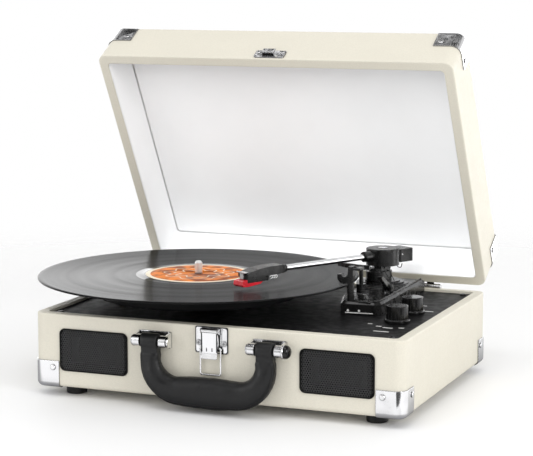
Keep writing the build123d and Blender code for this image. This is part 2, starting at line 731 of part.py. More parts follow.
# ---------------------------------------------------------------------------------------
# Deck plate, with holes for the bearing, the motor and the control shafts
# ---------------------------------------------------------------------------------------
KNOB_POINTS = [(KNOB_X, y) for y in KNOB_YS.values()]
with BuildPart() as deck_plate:
    with BuildSketch(Plane.XY.offset(DECK_UNDER)):
        RectangleRounded(INNER_W - 0.6, INNER_D - 0.6, INNER_R)
        with Locations(SPINDLE):
            Circle(6, mode=Mode.SUBTRACT)
        with Locations(PULLEY):
            Circle(8, mode=Mode.SUBTRACT)
        with Locations(*KNOB_POINTS):
            Circle(3.8, mode=Mode.SUBTRACT)
        with Locations(*DECK_SCREWS):
            Circle(SCREW_R, mode=Mode.SUBTRACT)
    extrude(amount=DECK_T)
save(deck_plate.part, "deck_plate")
save(screws(Plane.XY.offset(DECK_Z), DECK_SCREWS, 3, 1.6, SCREW_R, 12), "deck_screws")

# ---------------------------------------------------------------------------------------
# Turntable: bearing, spindle, platter with its drive ring, mat, motor, pulley and belt
# ---------------------------------------------------------------------------------------
BEARING_LOW = 52
BOSS_H = 3.5
with BuildPart() as spindle_bearing:
    with BuildSketch(Plane.XY.offset(BEARING_LOW)):
        with Locations(SPINDLE):
            Circle(6)
    extrude(amount=DECK_Z - BEARING_LOW)
    with BuildSketch(Plane.XY.offset(DECK_Z)):
        with Locations(SPINDLE):
            Circle(9)
    extrude(amount=BOSS_H)
    drill(Plane.XY.offset(DECK_Z + BOSS_H), [SPINDLE], SHAFT_R + RUN, DECK_Z + BOSS_H - BEARING_LOW - 1.5)
save(spindle_bearing.part, "spindle_bearing")

SPINDLE_R = 3.55
SPINDLE_TOP = 110.2
HUB_R = 2.5
with BuildPart() as spindle:
    with BuildSketch(Plane.XY.offset(BEARING_LOW + 1.6)):
        with Locations(SPINDLE):
            Circle(SHAFT_R)
    extrude(amount=PLATTER_Z - 2 - BEARING_LOW - 1.6)
    with BuildSketch(Plane.XY.offset(PLATTER_Z - 2)):
        with Locations(SPINDLE):
            Circle(7)
    extrude(amount=2)
    with BuildSketch(Plane.XY.offset(PLATTER_Z)):
        with Locations(SPINDLE):
            Circle(HUB_R)
    extrude(amount=MAT_TOP - PLATTER_Z)
    with BuildSketch(Plane.XY.offset(MAT_TOP)):
        with Locations(SPINDLE):
            Circle(SPINDLE_R)
    extrude(amount=SPINDLE_TOP - MAT_TOP)
    with BuildSketch(Plane.XY.offset(SPINDLE_TOP)):
        with Locations(SPINDLE):
            Circle(SPINDLE_R)
    extrude(amount=1.8, taper=35)
    fillet(spindle.edges().group_by(Axis.Z)[-1], 0.8)
save(spindle.part, "spindle")

with BuildPart() as platter:
    with BuildSketch(Plane.XY.offset(PLATTER_Z)):
        with Locations(SPINDLE):
            Circle(PLATTER_R)
            Circle(PLATTER_R - 3, mode=Mode.SUBTRACT)
            Circle(12)
            Circle(HUB_R, mode=Mode.SUBTRACT)
    extrude(amount=PLATTER_TOP - PLATTER_Z)
    with BuildSketch(Plane.XY.offset(PLATTER_Z - 2)):
        with Locations(SPINDLE):
            Circle(RING_R)
            Circle(RING_R - 2.5, mode=Mode.SUBTRACT)
    extrude(amount=PLATTER_TOP - PLATTER_Z)
    with BuildSketch(Plane.XY.offset(PLATTER_TOP - 3)):
        with Locations(SPINDLE):
            Circle(PLATTER_R - 1)
            Circle(HUB_R, mode=Mode.SUBTRACT)
    extrude(amount=3)
    outer_rims = platter.edges().filter_by(GeomType.CIRCLE).filter_by(lambda e: e.radius > PLATTER_R - 0.5)
    fillet(outer_rims, 1)
save(platter.part, "platter")

with BuildPart() as platter_mat:
    with BuildSketch(Plane.XY.offset(PLATTER_TOP)):
        with Locations(SPINDLE):
            Circle(PLATTER_R - 3)
            Circle(HUB_R + 0.4, mode=Mode.SUBTRACT)
    extrude(amount=MAT_TOP - PLATTER_TOP)
    # Shallow rings pressed into the mat's top.
    for radius in range(30, 90, 10):
        with BuildSketch(Plane.XY.offset(MAT_TOP)):
            with Locations(SPINDLE):
                Circle(radius)
                Circle(radius - 1.2, mode=Mode.SUBTRACT)
        extrude(amount=-0.5, mode=Mode.SUBTRACT)
save(platter_mat.part, "platter_mat")

MOTOR_LOW = 42
with BuildPart() as motor:
    with BuildSketch(Plane.XY.offset(MOTOR_LOW)):
        with Locations(PULLEY):
            Circle(15)
    extrude(amount=DECK_UNDER - MOTOR_LOW)
    fillet(motor.edges().group_by(Axis.Z)[0], 1.5)
    with BuildSketch(Plane.XY.offset(DECK_UNDER)):
        with Locations(PULLEY):
            Circle(5)
    extrude(amount=3.5)
    drill(Plane.XY.offset(DECK_UNDER + 3.5), [PULLEY], 1 + RUN, 14)
save(motor.part, "motor")

with BuildPart() as motor_pulley:
    with BuildSketch(Plane.XY.offset(DECK_UNDER - 10)):
        with Locations(PULLEY):
            Circle(1)
    extrude(amount=22)
    for low, high, radius in ((79.5, 80.9, 5), (80.9, 85.3, PULLEY_R), (85.3, 86.5, 5)):
        with BuildSketch(Plane.XY.offset(low)):
            with Locations(PULLEY):
                Circle(radius)
        extrude(amount=high - low)
save(motor_pulley.part, "motor_pulley")

with BuildPart() as drive_belt:
    with BuildSketch(Plane.XY.offset(BELT_Z)):
        with Locations(SPINDLE):
            Circle(RING_R + 0.1 + BELT_T)
        with Locations(PULLEY):
            Circle(PULLEY_R + 0.1 + BELT_T)
        make_hull()
    extrude(amount=BELT_H)
    with BuildSketch(Plane.XY.offset(BELT_Z)):
        with Locations(SPINDLE):
            Circle(RING_R + 0.1)
        with Locations(PULLEY):
            Circle(PULLEY_R + 0.1)
        make_hull()
    extrude(amount=BELT_H, mode=Mode.SUBTRACT)
save(drive_belt.part, "drive_belt")

# ---------------------------------------------------------------------------------------
# Tonearm base: a stepped platform on the deck, with the arm's ring pedestal
# ---------------------------------------------------------------------------------------
CUE_RADIUS = 45
CUE_ANGLE = radians(8)
CUE_POST = (PIVOT[0] - CUE_RADIUS * sin(CUE_ANGLE), PIVOT[1] - CUE_RADIUS * cos(CUE_ANGLE))
CUE_ROD_R = 2
LEVER_PIVOT = (108, 34, 91)
SPEED_Y = -8
SPEED_X = (97, 108)
SPEED_MIDDLE = ((SPEED_X[0] + SPEED_X[1]) / 2, SPEED_Y)
SPEED_STEM = (5, 2.8)
SPEED_SLOT = (19, 3)
with BuildPart() as arm_base:
    with BuildSketch(Plane.XY.offset(DECK_Z)):
        with BuildLine():
            Polyline((72, 117), (72, 10), (82, -24), (113, -21), (118, -15), (118, 117), close=True)
        make_face()
    extrude(amount=ARM_BASE_Z - DECK_Z)
    chamfer(arm_base.edges().group_by(Axis.Z)[-1], 2)
    for radius, top in ((25, 87.2), (21, 88.4), (17, 89.6)):
        with BuildSketch(Plane.XY.offset(ARM_BASE_Z - 2)):
            with Locations(PIVOT):
                Circle(radius)
        extrude(amount=top - ARM_BASE_Z + 2)
    # A low wall round the speed slot, and the cue lever's bracket.
    with BuildSketch(Plane.XY.offset(ARM_BASE_Z)):
        with Locations(SPEED_MIDDLE):
            RectangleRounded(23, 9, 2)
    extrude(amount=0.8)
    with BuildSketch(Plane.XY.offset(DECK_Z + 2)):
        with Locations(SPEED_MIDDLE):
            SlotOverall(*SPEED_SLOT)
    extrude(amount=12, mode=Mode.SUBTRACT)
    for side in (-1, 1):
        with BuildSketch(Plane.YZ.offset(LEVER_PIVOT[0] + side * 3.6 - 0.9)):
            with Locations((LEVER_PIVOT[1], LEVER_PIVOT[2])):
                Circle(3.2)
            with Locations((LEVER_PIVOT[1], (LEVER_PIVOT[2] + ARM_BASE_Z) / 2 - 0.2)):
                Rectangle(6.4, LEVER_PIVOT[2] - ARM_BASE_Z + 0.4)
        extrude(amount=1.8)
    with BuildSketch(Plane.YZ.offset(LEVER_PIVOT[0] - 6)):
        with Locations((LEVER_PIVOT[1], LEVER_PIVOT[2])):
            Circle(1 + RUN)
    extrude(amount=12, mode=Mode.SUBTRACT)
    # Tower that guides the cue rod.
    with BuildSketch(Plane.XY.offset(ARM_BASE_Z)):
        with Locations(CUE_POST):
            Circle(4.5)
    extrude(amount=6)
    drill(Plane.XY.offset(ARM_BASE_Z + 6), [CUE_POST], CUE_ROD_R + RUN, 14)
    drill(Plane.XY.offset(89.6), [PIVOT], STEM_R + RUN, 11.8)
save(arm_base.part, "arm_base")

REST_D = 102
REST_Y = 5.3
CLIP_HINGE = (6.2, 116.2)
with BuildPart() as arm_rest:
    with BuildSketch(Plane.XY.offset(ARM_BASE_Z)):
        with Locations((REST_D, REST_Y)):
            Circle(3.2)
    extrude(amount=18)
    with BuildSketch(Plane.YZ.offset(REST_D - 3.4)):
        with BuildLine():
            Polyline((3.3, 111.5), (4, 118), (8.4, 118), (8.4, 104), (6, 102), (-3, 102), (-6.6, 106))
            Polyline((-6.6, 106), (-6.6, 110.4), (-3.3, 110.4), (-3.3, 110.9))
            ThreePointArc((-3.3, 110.9), (0, 108.2), (3.3, 111.5))
        make_face()
        with Locations(CLIP_HINGE):
            Circle(0.9 + RUN, mode=Mode.SUBTRACT)
    extrude(amount=6.8)
save(arm_rest.part, "arm_rest", PARKED)

# The clip lies open to the right and folds over the cradle to hold the parked arm.
with BuildPart() as arm_clip:
    with BuildSketch(Plane.YZ.offset(REST_D - 5.2)):
        with Locations(CLIP_HINGE):
            Circle(0.9)
    extrude(amount=10.4)
    for start in (REST_D - 5.2, REST_D + 3.6):
        with BuildSketch(Plane.YZ.offset(start)):
            with Locations(CLIP_HINGE):
                Circle(1.8)
            with Locations((CLIP_HINGE[0] + 4.8, CLIP_HINGE[1])):
                Rectangle(9.6, 2)
        extrude(amount=1.6)
    with BuildSketch(Plane.YZ.offset(REST_D - 5.2)):
        with Locations((CLIP_HINGE[0] + 7.4, CLIP_HINGE[1])):
            RectangleRounded(5.6, 2.4, 0.8)
    extrude(amount=10.4)
save(arm_clip.part, "arm_clip", PARKED)

# ---------------------------------------------------------------------------------------
# Cue lift: a rod with a curved bar under the arm tube, raised by its lever
# ---------------------------------------------------------------------------------------
CUE_TOP = 109.6
CUE_SPAN = (-3, 46)
with BuildPart() as cue_lift:
    with BuildSketch(Plane.XY.offset(ARM_BASE_Z - 2)):
        with Locations(CUE_POST):
            Circle(CUE_ROD_R)
    extrude(amount=CUE_TOP - 3 - ARM_BASE_Z + 2)
    with BuildSketch(Plane.XY.offset(CUE_TOP - 4)):
        with BuildLine():
            outer = CenterArc(PIVOT, CUE_RADIUS + 2, 270 - CUE_SPAN[1], CUE_SPAN[1] - CUE_SPAN[0])
            inner = CenterArc(PIVOT, CUE_RADIUS - 2, 270 - CUE_SPAN[1], CUE_SPAN[1] - CUE_SPAN[0])
            Line(outer @ 0, inner @ 0)
            Line(outer @ 1, inner @ 1)
        make_face()
    extrude(amount=4)
save(cue_lift.part, "cue_lift")

with BuildPart() as cue_lever:
    with BuildSketch(Plane.YZ.offset(LEVER_PIVOT[0] - 5)):
        with Locations((LEVER_PIVOT[1], LEVER_PIVOT[2])):
            Circle(1)
    extrude(amount=10)
    with BuildSketch(Plane.YZ.offset(LEVER_PIVOT[0] - 2.2)):
        with Locations((LEVER_PIVOT[1], LEVER_PIVOT[2])):
            Circle(3)
        with BuildLine():
            Polyline(
                (LEVER_PIVOT[1] + 2, LEVER_PIVOT[2] + 2.4),
                (LEVER_PIVOT[1] - 22, LEVER_PIVOT[2] + 14),
                (LEVER_PIVOT[1] - 26, LEVER_PIVOT[2] + 14),
                (LEVER_PIVOT[1] - 25, LEVER_PIVOT[2] + 12),
                (LEVER_PIVOT[1] - 1, LEVER_PIVOT[2] - 2.4),
                close=True,
            )
        make_face()
    extrude(amount=4.4)
save(cue_lever.part, "cue_lever")

with BuildPart() as speed_lever:
    with BuildSketch(Plane.XY.offset(DECK_Z + 3)):
        with Locations((SPEED_X[0], SPEED_Y)):
            Rectangle(*SPEED_STEM)
    extrude(amount=9)
    with BuildSketch(Plane.XY.offset(ARM_BASE_Z + 1)):
        with Locations((SPEED_X[0], SPEED_Y)):
            RectangleRounded(7, 6, 1)
    extrude(amount=4, taper=8)
save(speed_lever.part, "speed_lever")

# ---------------------------------------------------------------------------------------
# Tonearm, built along +X from its pivot and turned to its angle
# ---------------------------------------------------------------------------------------
tube_tilt = Plane(
    origin=(TUBE_START[0], 0, TUBE_START[1]),
    x_dir=(0, 1, 0),
    z_dir=(TUBE_END[0] - TUBE_START[0], 0, TUBE_END[1] - TUBE_START[1]),
)
TUBE_L = TUBE_END[0] - TUBE_START[0]

with BuildPart() as arm_turret:
    with BuildSketch(Plane.XY.offset(78)):
        Circle(STEM_R)
    extrude(amount=12)
    # The column leans forward of the swing axis, and its neck leaves room for the cap's tilt.
    for low, high, radius in ((89.8, 98.5, 10), (98.5, 101.5, 7.5)):
        with BuildSketch(Plane.XY.offset(low)):
            Circle(radius - 1)
            with Locations((8, 0)):
                Circle(radius)
            make_hull()
        extrude(amount=high - low)
    for side in (-1, 1):
        with BuildSketch(Plane.XZ.offset(side * 6.5 - 1)):
            with Locations((0, PIVOT_Z)):
                Circle(3.5)
            with Locations((0, (PIVOT_Z + 100.5) / 2)):
                Rectangle(7, PIVOT_Z - 100.5)
        extrude(amount=2)
    with BuildSketch(Plane.XZ.offset(-20)):
        with Locations((0, PIVOT_Z)):
            Circle(1.5)
    extrude(amount=40, mode=Mode.SUBTRACT)
save(arm_turret.part, "arm_turret", ARM)

with BuildPart() as arm_pivot_pin:
    with BuildSketch(Plane.XZ.offset(-10.5)):
        with Locations((0, PIVOT_Z)):
            Circle(1.5)
    extrude(amount=21)
save(arm_pivot_pin.part, "arm_pivot_pin", ARM)

TAIL_END = -31.5
with BuildPart() as arm_housing:
    with BuildSketch(Plane.XY.offset(104)):
        Circle(CAP_R)
    extrude(amount=ARM_TOP - 104)
    fillet(arm_housing.edges().group_by(Axis.Z)[-1], 1.2)
    with BuildSketch(Plane.XY.offset(105.5)):
        with Locations((TAIL_END + 9, 0)):
            RectangleRounded(18, 20, 2)
    extrude(amount=12.5)
    with BuildSketch(tube_tilt):
        Circle(5)
    extrude(amount=11)
    with BuildSketch(Plane.XY.offset(104)):
        Rectangle(17, 18)
    extrude(amount=11.5, mode=Mode.SUBTRACT)
    with BuildSketch(tube_tilt):
        Circle(TUBE_R)
    extrude(amount=TUBE_L, mode=Mode.SUBTRACT)
    with BuildSketch(Plane.XZ.offset(-11)):
        with Locations((0, PIVOT_Z)):
            Circle(1.5 + RUN)
    extrude(amount=22, mode=Mode.SUBTRACT)
save(arm_housing.part, "arm_housing", ARM)

with BuildPart() as arm_tube:
    with BuildSketch(tube_tilt):
        Circle(TUBE_R)
        Circle(TUBE_R - 0.6, mode=Mode.SUBTRACT)
    extrude(amount=TUBE_L)
save(arm_tube.part, "arm_tube", ARM)

SHELL_TIP = 173
with BuildPart() as headshell:
    with BuildSketch(tube_tilt.offset(TUBE_L - 8)):
        Circle(4.6)
    extrude(amount=8)
    with BuildSketch(Plane.XZ.offset(-7)):
        with BuildLine():
            Polyline(
                (130, 117.4),
                (136, 118.4),
                (164, 116.4),
                (SHELL_TIP, 113.6),
                (SHELL_TIP, 110.4),
                (136, 110.4),
                (130, 111),
                close=True,
            )
        make_face()
    extrude(amount=14)
    chamfer(headshell.edges().filter_by(Axis.Y).group_by(Axis.Z)[-1], 1.5)
    with BuildSketch(tube_tilt):
        Circle(TUBE_R)
    extrude(amount=TUBE_L, mode=Mode.SUBTRACT)
save(headshell.part, "headshell", ARM)

CARTRIDGE_LOW = 105.6
with BuildPart() as cartridge:
    with BuildSketch(Plane.XY.offset(CARTRIDGE_LOW)):
        with Locations((160, 0)):
            RectangleRounded(26, 11, 1)
    extrude(amount=110.4 - CARTRIDGE_LOW)
save(cartridge.part, "cartridge", ARM)

with BuildPart() as stylus:
    with BuildSketch(Plane.XZ.offset(-4.5)):
        with BuildLine():
            Polyline(
                (154, CARTRIDGE_LOW),
                (178, CARTRIDGE_LOW),
                (177, 103.6),
                (160, 102.8),
                (154, 104),
                close=True,
            )
        make_face()
    extrude(amount=9)
    with BuildSketch(Plane.XY.offset(STYLUS_Z)):
        with Locations((STYLUS_D - 0.5, 0)):
            Circle(0.5)
    extrude(amount=2.5)
save(stylus.part, "stylus", ARM)

# ---------------------------------------------------------------------------------------
# Volume control, function switch and their knobs
# ---------------------------------------------------------------------------------------
FLUTES = 18
for kind, body_name in (("volume", "volume_pot"), ("function", "function_switch")):
    centre = (KNOB_X, KNOB_YS[kind])
    with BuildPart() as control:
        with BuildSketch(Plane.XY.offset(58)):
            with Locations(centre):
                RectangleRounded(17, 20, 1)
        extrude(amount=DECK_UNDER - 58)
        with BuildSketch(Plane.XY.offset(DECK_UNDER)):
            with Locations(centre):
                Circle(3.8)
        extrude(amount=DECK_T)
        drill(Plane.XY.offset(DECK_Z), [centre], SHAFT_R + RUN, 12)
    save(control.part, body_name)

    with BuildPart() as knob:
        with BuildSketch(Plane.XY.offset(DECK_Z - 11)):
            with Locations(centre):
                Circle(SHAFT_R)
        extrude(amount=KNOB_Z - DECK_Z + 11)
        with BuildSketch(Plane.XY.offset(KNOB_Z)):
            with Locations(centre):
                Circle(SKIRT_R)
        extrude(amount=2.6)
        fillet(knob.edges().group_by(Axis.Z)[-1], 0.8)
        with BuildSketch(Plane.XY.offset(KNOB_Z + 2.6)):
            with Locations(centre):
                Circle(KNOB_R)
        extrude(amount=KNOB_H - 2.6, taper=1.5)
        fillet(knob.edges().group_by(Axis.Z)[-1], 0.7)
        with BuildSketch(Plane.XY.offset(KNOB_Z + 2.6)):
            with Locations(centre):
                with PolarLocations(KNOB_R + 0.35, FLUTES):
                    Circle(0.75)
        extrude(amount=KNOB_H - 4.2, mode=Mode.SUBTRACT)
    save(knob.part, f"{kind}_knob")

# ---------------------------------------------------------------------------------------
# Circuit board on its posts
# ---------------------------------------------------------------------------------------
BOARD_T = 1.6
# Chips, a coil and a connector: offset from the board's middle, width, depth and height.
BOARD_CHIPS = [(-20, 8, 22, 16, 3), (12, 12, 14, 10, 2.4), (24, -12, 10, 18, 14), (-6, -16, 12, 8, 5)]
CAPACITORS = [(-34, -12), (-34, 2), (8, -18)]
with BuildPart() as main_board:
    with BuildSketch(Plane.XY.offset(BOARD_Z)):
        with Locations(BOARD):
            RectangleRounded(*BOARD_SIZE, 2)
    extrude(amount=BOARD_T)
    for dx, dy, wide, deep, high in BOARD_CHIPS:
        with BuildSketch(Plane.XY.offset(BOARD_Z + BOARD_T)):
            with Locations((BOARD[0] + dx, BOARD[1] + dy)):
                Rectangle(wide, deep)
        extrude(amount=high)
    with BuildSketch(Plane.XY.offset(BOARD_Z + BOARD_T)):
        with Locations(*[(BOARD[0] + dx, BOARD[1] + dy) for dx, dy in CAPACITORS]):
            Circle(5)
    extrude(amount=13)
save(main_board.part, "main_board")
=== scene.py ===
import json
import math
import bpy
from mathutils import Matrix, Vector, noise

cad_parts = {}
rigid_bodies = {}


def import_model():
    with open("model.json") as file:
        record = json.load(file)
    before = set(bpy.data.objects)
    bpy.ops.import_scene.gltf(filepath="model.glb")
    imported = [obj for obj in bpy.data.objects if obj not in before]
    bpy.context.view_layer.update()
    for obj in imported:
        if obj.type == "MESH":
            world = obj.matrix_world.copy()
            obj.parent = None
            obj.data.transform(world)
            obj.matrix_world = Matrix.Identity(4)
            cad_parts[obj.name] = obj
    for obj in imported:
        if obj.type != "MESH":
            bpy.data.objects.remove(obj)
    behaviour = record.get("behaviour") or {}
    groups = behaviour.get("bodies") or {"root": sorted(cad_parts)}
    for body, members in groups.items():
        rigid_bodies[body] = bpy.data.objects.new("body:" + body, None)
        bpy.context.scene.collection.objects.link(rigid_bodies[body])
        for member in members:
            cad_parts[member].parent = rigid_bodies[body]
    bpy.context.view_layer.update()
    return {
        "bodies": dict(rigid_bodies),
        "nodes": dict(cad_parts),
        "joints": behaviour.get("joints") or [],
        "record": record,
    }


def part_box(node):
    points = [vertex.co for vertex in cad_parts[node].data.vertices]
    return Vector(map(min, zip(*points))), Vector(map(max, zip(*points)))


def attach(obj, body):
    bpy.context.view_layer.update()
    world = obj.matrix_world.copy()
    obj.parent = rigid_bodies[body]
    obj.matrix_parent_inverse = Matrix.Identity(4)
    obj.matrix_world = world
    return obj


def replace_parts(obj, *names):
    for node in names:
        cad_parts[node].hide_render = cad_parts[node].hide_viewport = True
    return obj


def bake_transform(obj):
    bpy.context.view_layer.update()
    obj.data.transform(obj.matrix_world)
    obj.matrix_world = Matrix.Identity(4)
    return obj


# Looks of the suitcase record player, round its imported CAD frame. Places are written in
# millimetres from the table under the middle of the case, and at() turns them into the frame.
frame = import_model()
MM = 0.001
NODES = frame["nodes"]
CASE_LOW, CASE_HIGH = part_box("base_case")
CASE_Y = (CASE_LOW.y + CASE_HIGH.y) / 2


def at(x, y, z):
    """A place in millimetres from the table under the middle of the case, in the frame."""
    return Vector((x * MM, y * MM + CASE_Y, z * MM))


def size_of(node):
    """The lowest and highest corners of a CAD node, in millimetres in the case's own axes."""
    low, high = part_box(node)
    offset = Vector((0, CASE_Y, 0))
    return (low - offset) / MM, (high - offset) / MM


CASE = size_of("base_case")
DECK = size_of("deck_plate")
GRIP = size_of("handle_grip")
PINS = size_of("handle_pins")
BRACKETS = size_of("handle_brackets")
PLATTER = size_of("platter")
MAT = size_of("platter_mat")
SPINDLE_X = (PLATTER[0].x + PLATTER[1].x) / 2
SPINDLE_Y = (PLATTER[0].y + PLATTER[1].y) / 2
DECK_TOP = DECK[1].z
JOINTS = {joint["name"]: joint for joint in frame["joints"]}
PIVOT = Vector(JOINTS["arm_swing"]["pos_m"]) / MM - Vector((0, CASE_Y / MM, 0))

# Case: how far in the covering starts to count as the inside, which is painted near-black as painted shade,
# and the thickness of the skin.
CORNER_CLEAR = 3
SKIN = 0.4
# Speaker grilles: the outline's corner radius.
GRILLE_CORNER = 5.2
# Latch lever: half the distance between its folded sides, and the plane of its face.
LEVER_HALF = 7.2
LEVER_FACE = CASE[0].y - 6.3
# Tonearm: its angle at rest, the end of the headshell, and the top of the cap.
ARM_ANGLE = 28
HEADSHELL_TIP = 173
ARM_CAP_TOP = size_of("arm_housing")[1].z
# Platform under the arm: its top, its left side, and where its front wall starts to slant back.
BASE_TOP = DECK_TOP + 12
BASE_LEFT = 72
NOSE_LEFT = 82
NOSE_SLANT = 3 / 31
# Signal wires: half their thickness.
WIRE_R = 0.42
# Printed marks: the speed scale (left, right, height), then the bars as middle x, y and length.
SPEED_LINE = (86.2, 111.8, DECK_TOP + 1.8)
KNOB_MARKS = (
    (120.6, -54.7, 4),
    (131.3, -62.9, 5),
    (140.9, -67.0, 9),
    (152.2, -63.5, 5),
    (140.5, -83.8, 14),
    (140.4, 44.2, 5),
    (151.9, 19.6, 9),
)
# Record: a 12 inch disc, with its label, hole and thickness.
RECORD_R = 151.0
LABEL_R = 50.0
RECORD_HOLE_R = 3.7
RECORD_THICK = 1.8
# Camera: where it stands, where it looks, and its lens and sensor.
EYE = at(630.6, -1567.4, 391.5)
AIM = at(-0.2, 0, 145.6)
LENS = 123.9
SENSOR = 36.0
# Studio: level of the sky for diffuse rays, and of the bright back in reflections.
DIFFUSE_SKY = 0.86
BACK_GLOW = 3.0


# ---------------------------------------------------------------------------------------
# Materials: a small builder for node graphs, then one function per finish
# ---------------------------------------------------------------------------------------
class Graph:
    """One node material, with short calls for the nodes that the finishes share."""

    def __init__(self, name):
        self.material = bpy.data.materials.new(name)
        self.material.use_nodes = True
        self.tree = self.material.node_tree
        self.shader = self.tree.nodes["Principled BSDF"]
        self.place = self.add("ShaderNodeTexCoord").outputs["Object"]

    def add(self, kind, inputs=None, **settings):
        """A new node, with its inputs linked or set, and its own settings."""
        node = self.tree.nodes.new(kind)
        for key, value in settings.items():
            setattr(node, key, value)
        for key, value in (inputs or {}).items():
            self.set(node.inputs[key], value)
        return node

    def set(self, socket, value):
        """Link a socket to another one, or give it a plain value."""
        if isinstance(value, bpy.types.NodeSocket):
            self.tree.links.new(value, socket)
        else:
            socket.default_value = value

    def math(self, operation, a, b=0.0):
        return self.add("ShaderNodeMath", {0: a, 1: b}, operation=operation).outputs[0]

    def remap(self, value, low, high, to_low=0.0, to_high=1.0):
        """The value's range from low to high, eased onto the one from to_low to to_high."""
        inputs = {"Value": value, "From Min": low, "From Max": high, "To Min": to_low, "To Max": to_high}
        return self.add("ShaderNodeMapRange", inputs, interpolation_type="SMOOTHSTEP").outputs["Result"]

    def stretched(self, scale):
        return self.add("ShaderNodeMapping", {"Vector": self.place, "Scale": scale}).outputs["Vector"]

    def noise(self, scale, detail=3.0, vector=None):
        inputs = {"Vector": vector or self.place, "Scale": scale, "Detail": detail}
        return self.add("ShaderNodeTexNoise", inputs).outputs["Fac"]

    def cells(self, scale, vector):
        inputs = {"Vector": vector, "Scale": scale}
        return self.add("ShaderNodeTexVoronoi", inputs, feature="SMOOTH_F1").outputs["Distance"]

    def mix(self, share, first, second):
        node = self.add("ShaderNodeMix", {0: share}, data_type="RGBA")
        self.set(node.inputs[6], first)
        self.set(node.inputs[7], second)
        return node.outputs[2]

    def axes(self):
        return self.add("ShaderNodeSeparateXYZ", {0: self.place}).outputs

    def flat_place(self):
        """The object's own x and y, and the distance from its vertical axis."""
        x, y = self.axes()[:2]
        squares = self.math("ADD", self.math("MULTIPLY", x, x), self.math("MULTIPLY", y, y))
        return x, y, self.math("SQRT", squares)

    def edges(self, radius):
        """Soft-edged normal, and a mask that is 1 on sharp edges."""
        soft = self.add("ShaderNodeBevel", {"Radius": radius * MM}, samples=4).outputs[0]
        flat = self.add("ShaderNodeNewGeometry").outputs["Normal"]
        dot = self.add("ShaderNodeVectorMath", {0: soft, 1: flat}, operation="DOT_PRODUCT").outputs["Value"]
        return soft, self.remap(dot, 0.97, 0.75)

    def bump(self, height, normal=None):
        """Normals from a height in metres, on top of another normal if one is given."""
        inputs = {"Height": height, "Distance": 1.0, "Strength": 1.0}
        if normal is not None:
            inputs["Normal"] = normal
        return self.add("ShaderNodeBump", inputs).outputs[0]

    def done(self, **values):
        """Set the shader's own inputs, and hand over the material."""
        for key, value in values.items():
            self.set(self.shader.inputs[key.replace("_", " ")], value)
        return self.material


def rgb(red, green, blue):
    return (red, green, blue, 1.0)


def grey(level):
    return (level, level, level, 1.0)


def shade(colour, factor):
    return (colour[0] * factor, colour[1] * factor, colour[2] * factor, 1.0)


def leather(name, colour, grain, depth, roughness, edge, edge_wear_and_highlight, inside=None):
    """Grained covering: rounded pebbles, fine creases, slow changes of tone and worn edges; a given inside is
    painted near-black as painted shade.
    """
    g = Graph(name)
    warp = g.add("ShaderNodeVectorMath", {0: g.place}, operation="ADD")
    swirl = g.add("ShaderNodeTexNoise", {"Vector": g.place, "Scale": grain * 0.35}).outputs["Color"]
    small = g.add("ShaderNodeVectorMath", {0: swirl, "Scale": 0.6 / grain}, operation="SCALE").outputs[0]
    g.set(warp.inputs[1], small)
    pebbles = g.cells(grain, warp.outputs[0])
    creases = g.noise(grain * 0.45, 4.0)
    crease_height = g.math("MULTIPLY", creases, depth * 0.7 * MM)
    height = g.math("ADD", g.math("MULTIPLY", pebbles, -depth * MM), crease_height)
    soft, mask = g.edges(edge)
    tone = g.noise(22, 3.0)
    base = g.mix(g.remap(tone, 0.3, 0.7, 0.0, 0.6), colour, shade(colour, 0.955))
    base = g.mix(g.remap(pebbles, 0.25, 0.6, 0.0, 0.45), base, shade(colour, 0.9))
    base = g.mix(g.math("MULTIPLY", mask, g.remap(g.noise(160), 0.35, 0.7, 0.1, 0.6)), base, edge_wear_and_highlight)
    # Painted shade: the inside of the case is painted near-black.
    if inside is not None:
        base = g.mix(inside(g), base, rgb(0.004, 0.004, 0.004))
    rough = g.remap(g.noise(grain * 0.2), 0.3, 0.7, roughness - 0.07, roughness + 0.08)
    return g.done(Base_Color=base, Roughness=rough, Normal=g.bump(height, soft), Specular_IOR_Level=0.35)


def plastic(name, colour, roughness, grain=0.012, edge=0.4, coat=0.0, edge_wear_and_highlight=None, specular=0.5):
    """Moulded plastic: spark-eroded grain, a little mottling, and softened edges lightened as a painted
    highlight.
    """
    g = Graph(name)
    soft, mask = g.edges(edge)
    height = g.math("MULTIPLY", g.noise(2600, 2.0), grain * MM)
    height = g.math("ADD", height, g.math("MULTIPLY", g.noise(60, 2.0), 0.003 * MM))
    base = g.mix(g.remap(g.noise(35, 4.0), 0.35, 0.7, 0.0, 0.7), colour, shade(colour, 1.35))
    # Painted highlight: sharp edges lightened towards the edge colour.
    base = g.mix(g.math("MULTIPLY", mask, 0.5), base, edge_wear_and_highlight or shade(colour, 3.2))
    rough = g.remap(g.noise(120, 5.0), 0.3, 0.7, roughness - 0.06, roughness + 0.07)
    return g.done(
        Base_Color=base,
        Roughness=rough,
        Normal=g.bump(height, soft),
        Coat_Weight=coat,
        Coat_Roughness=0.12,
        Specular_IOR_Level=specular,
    )


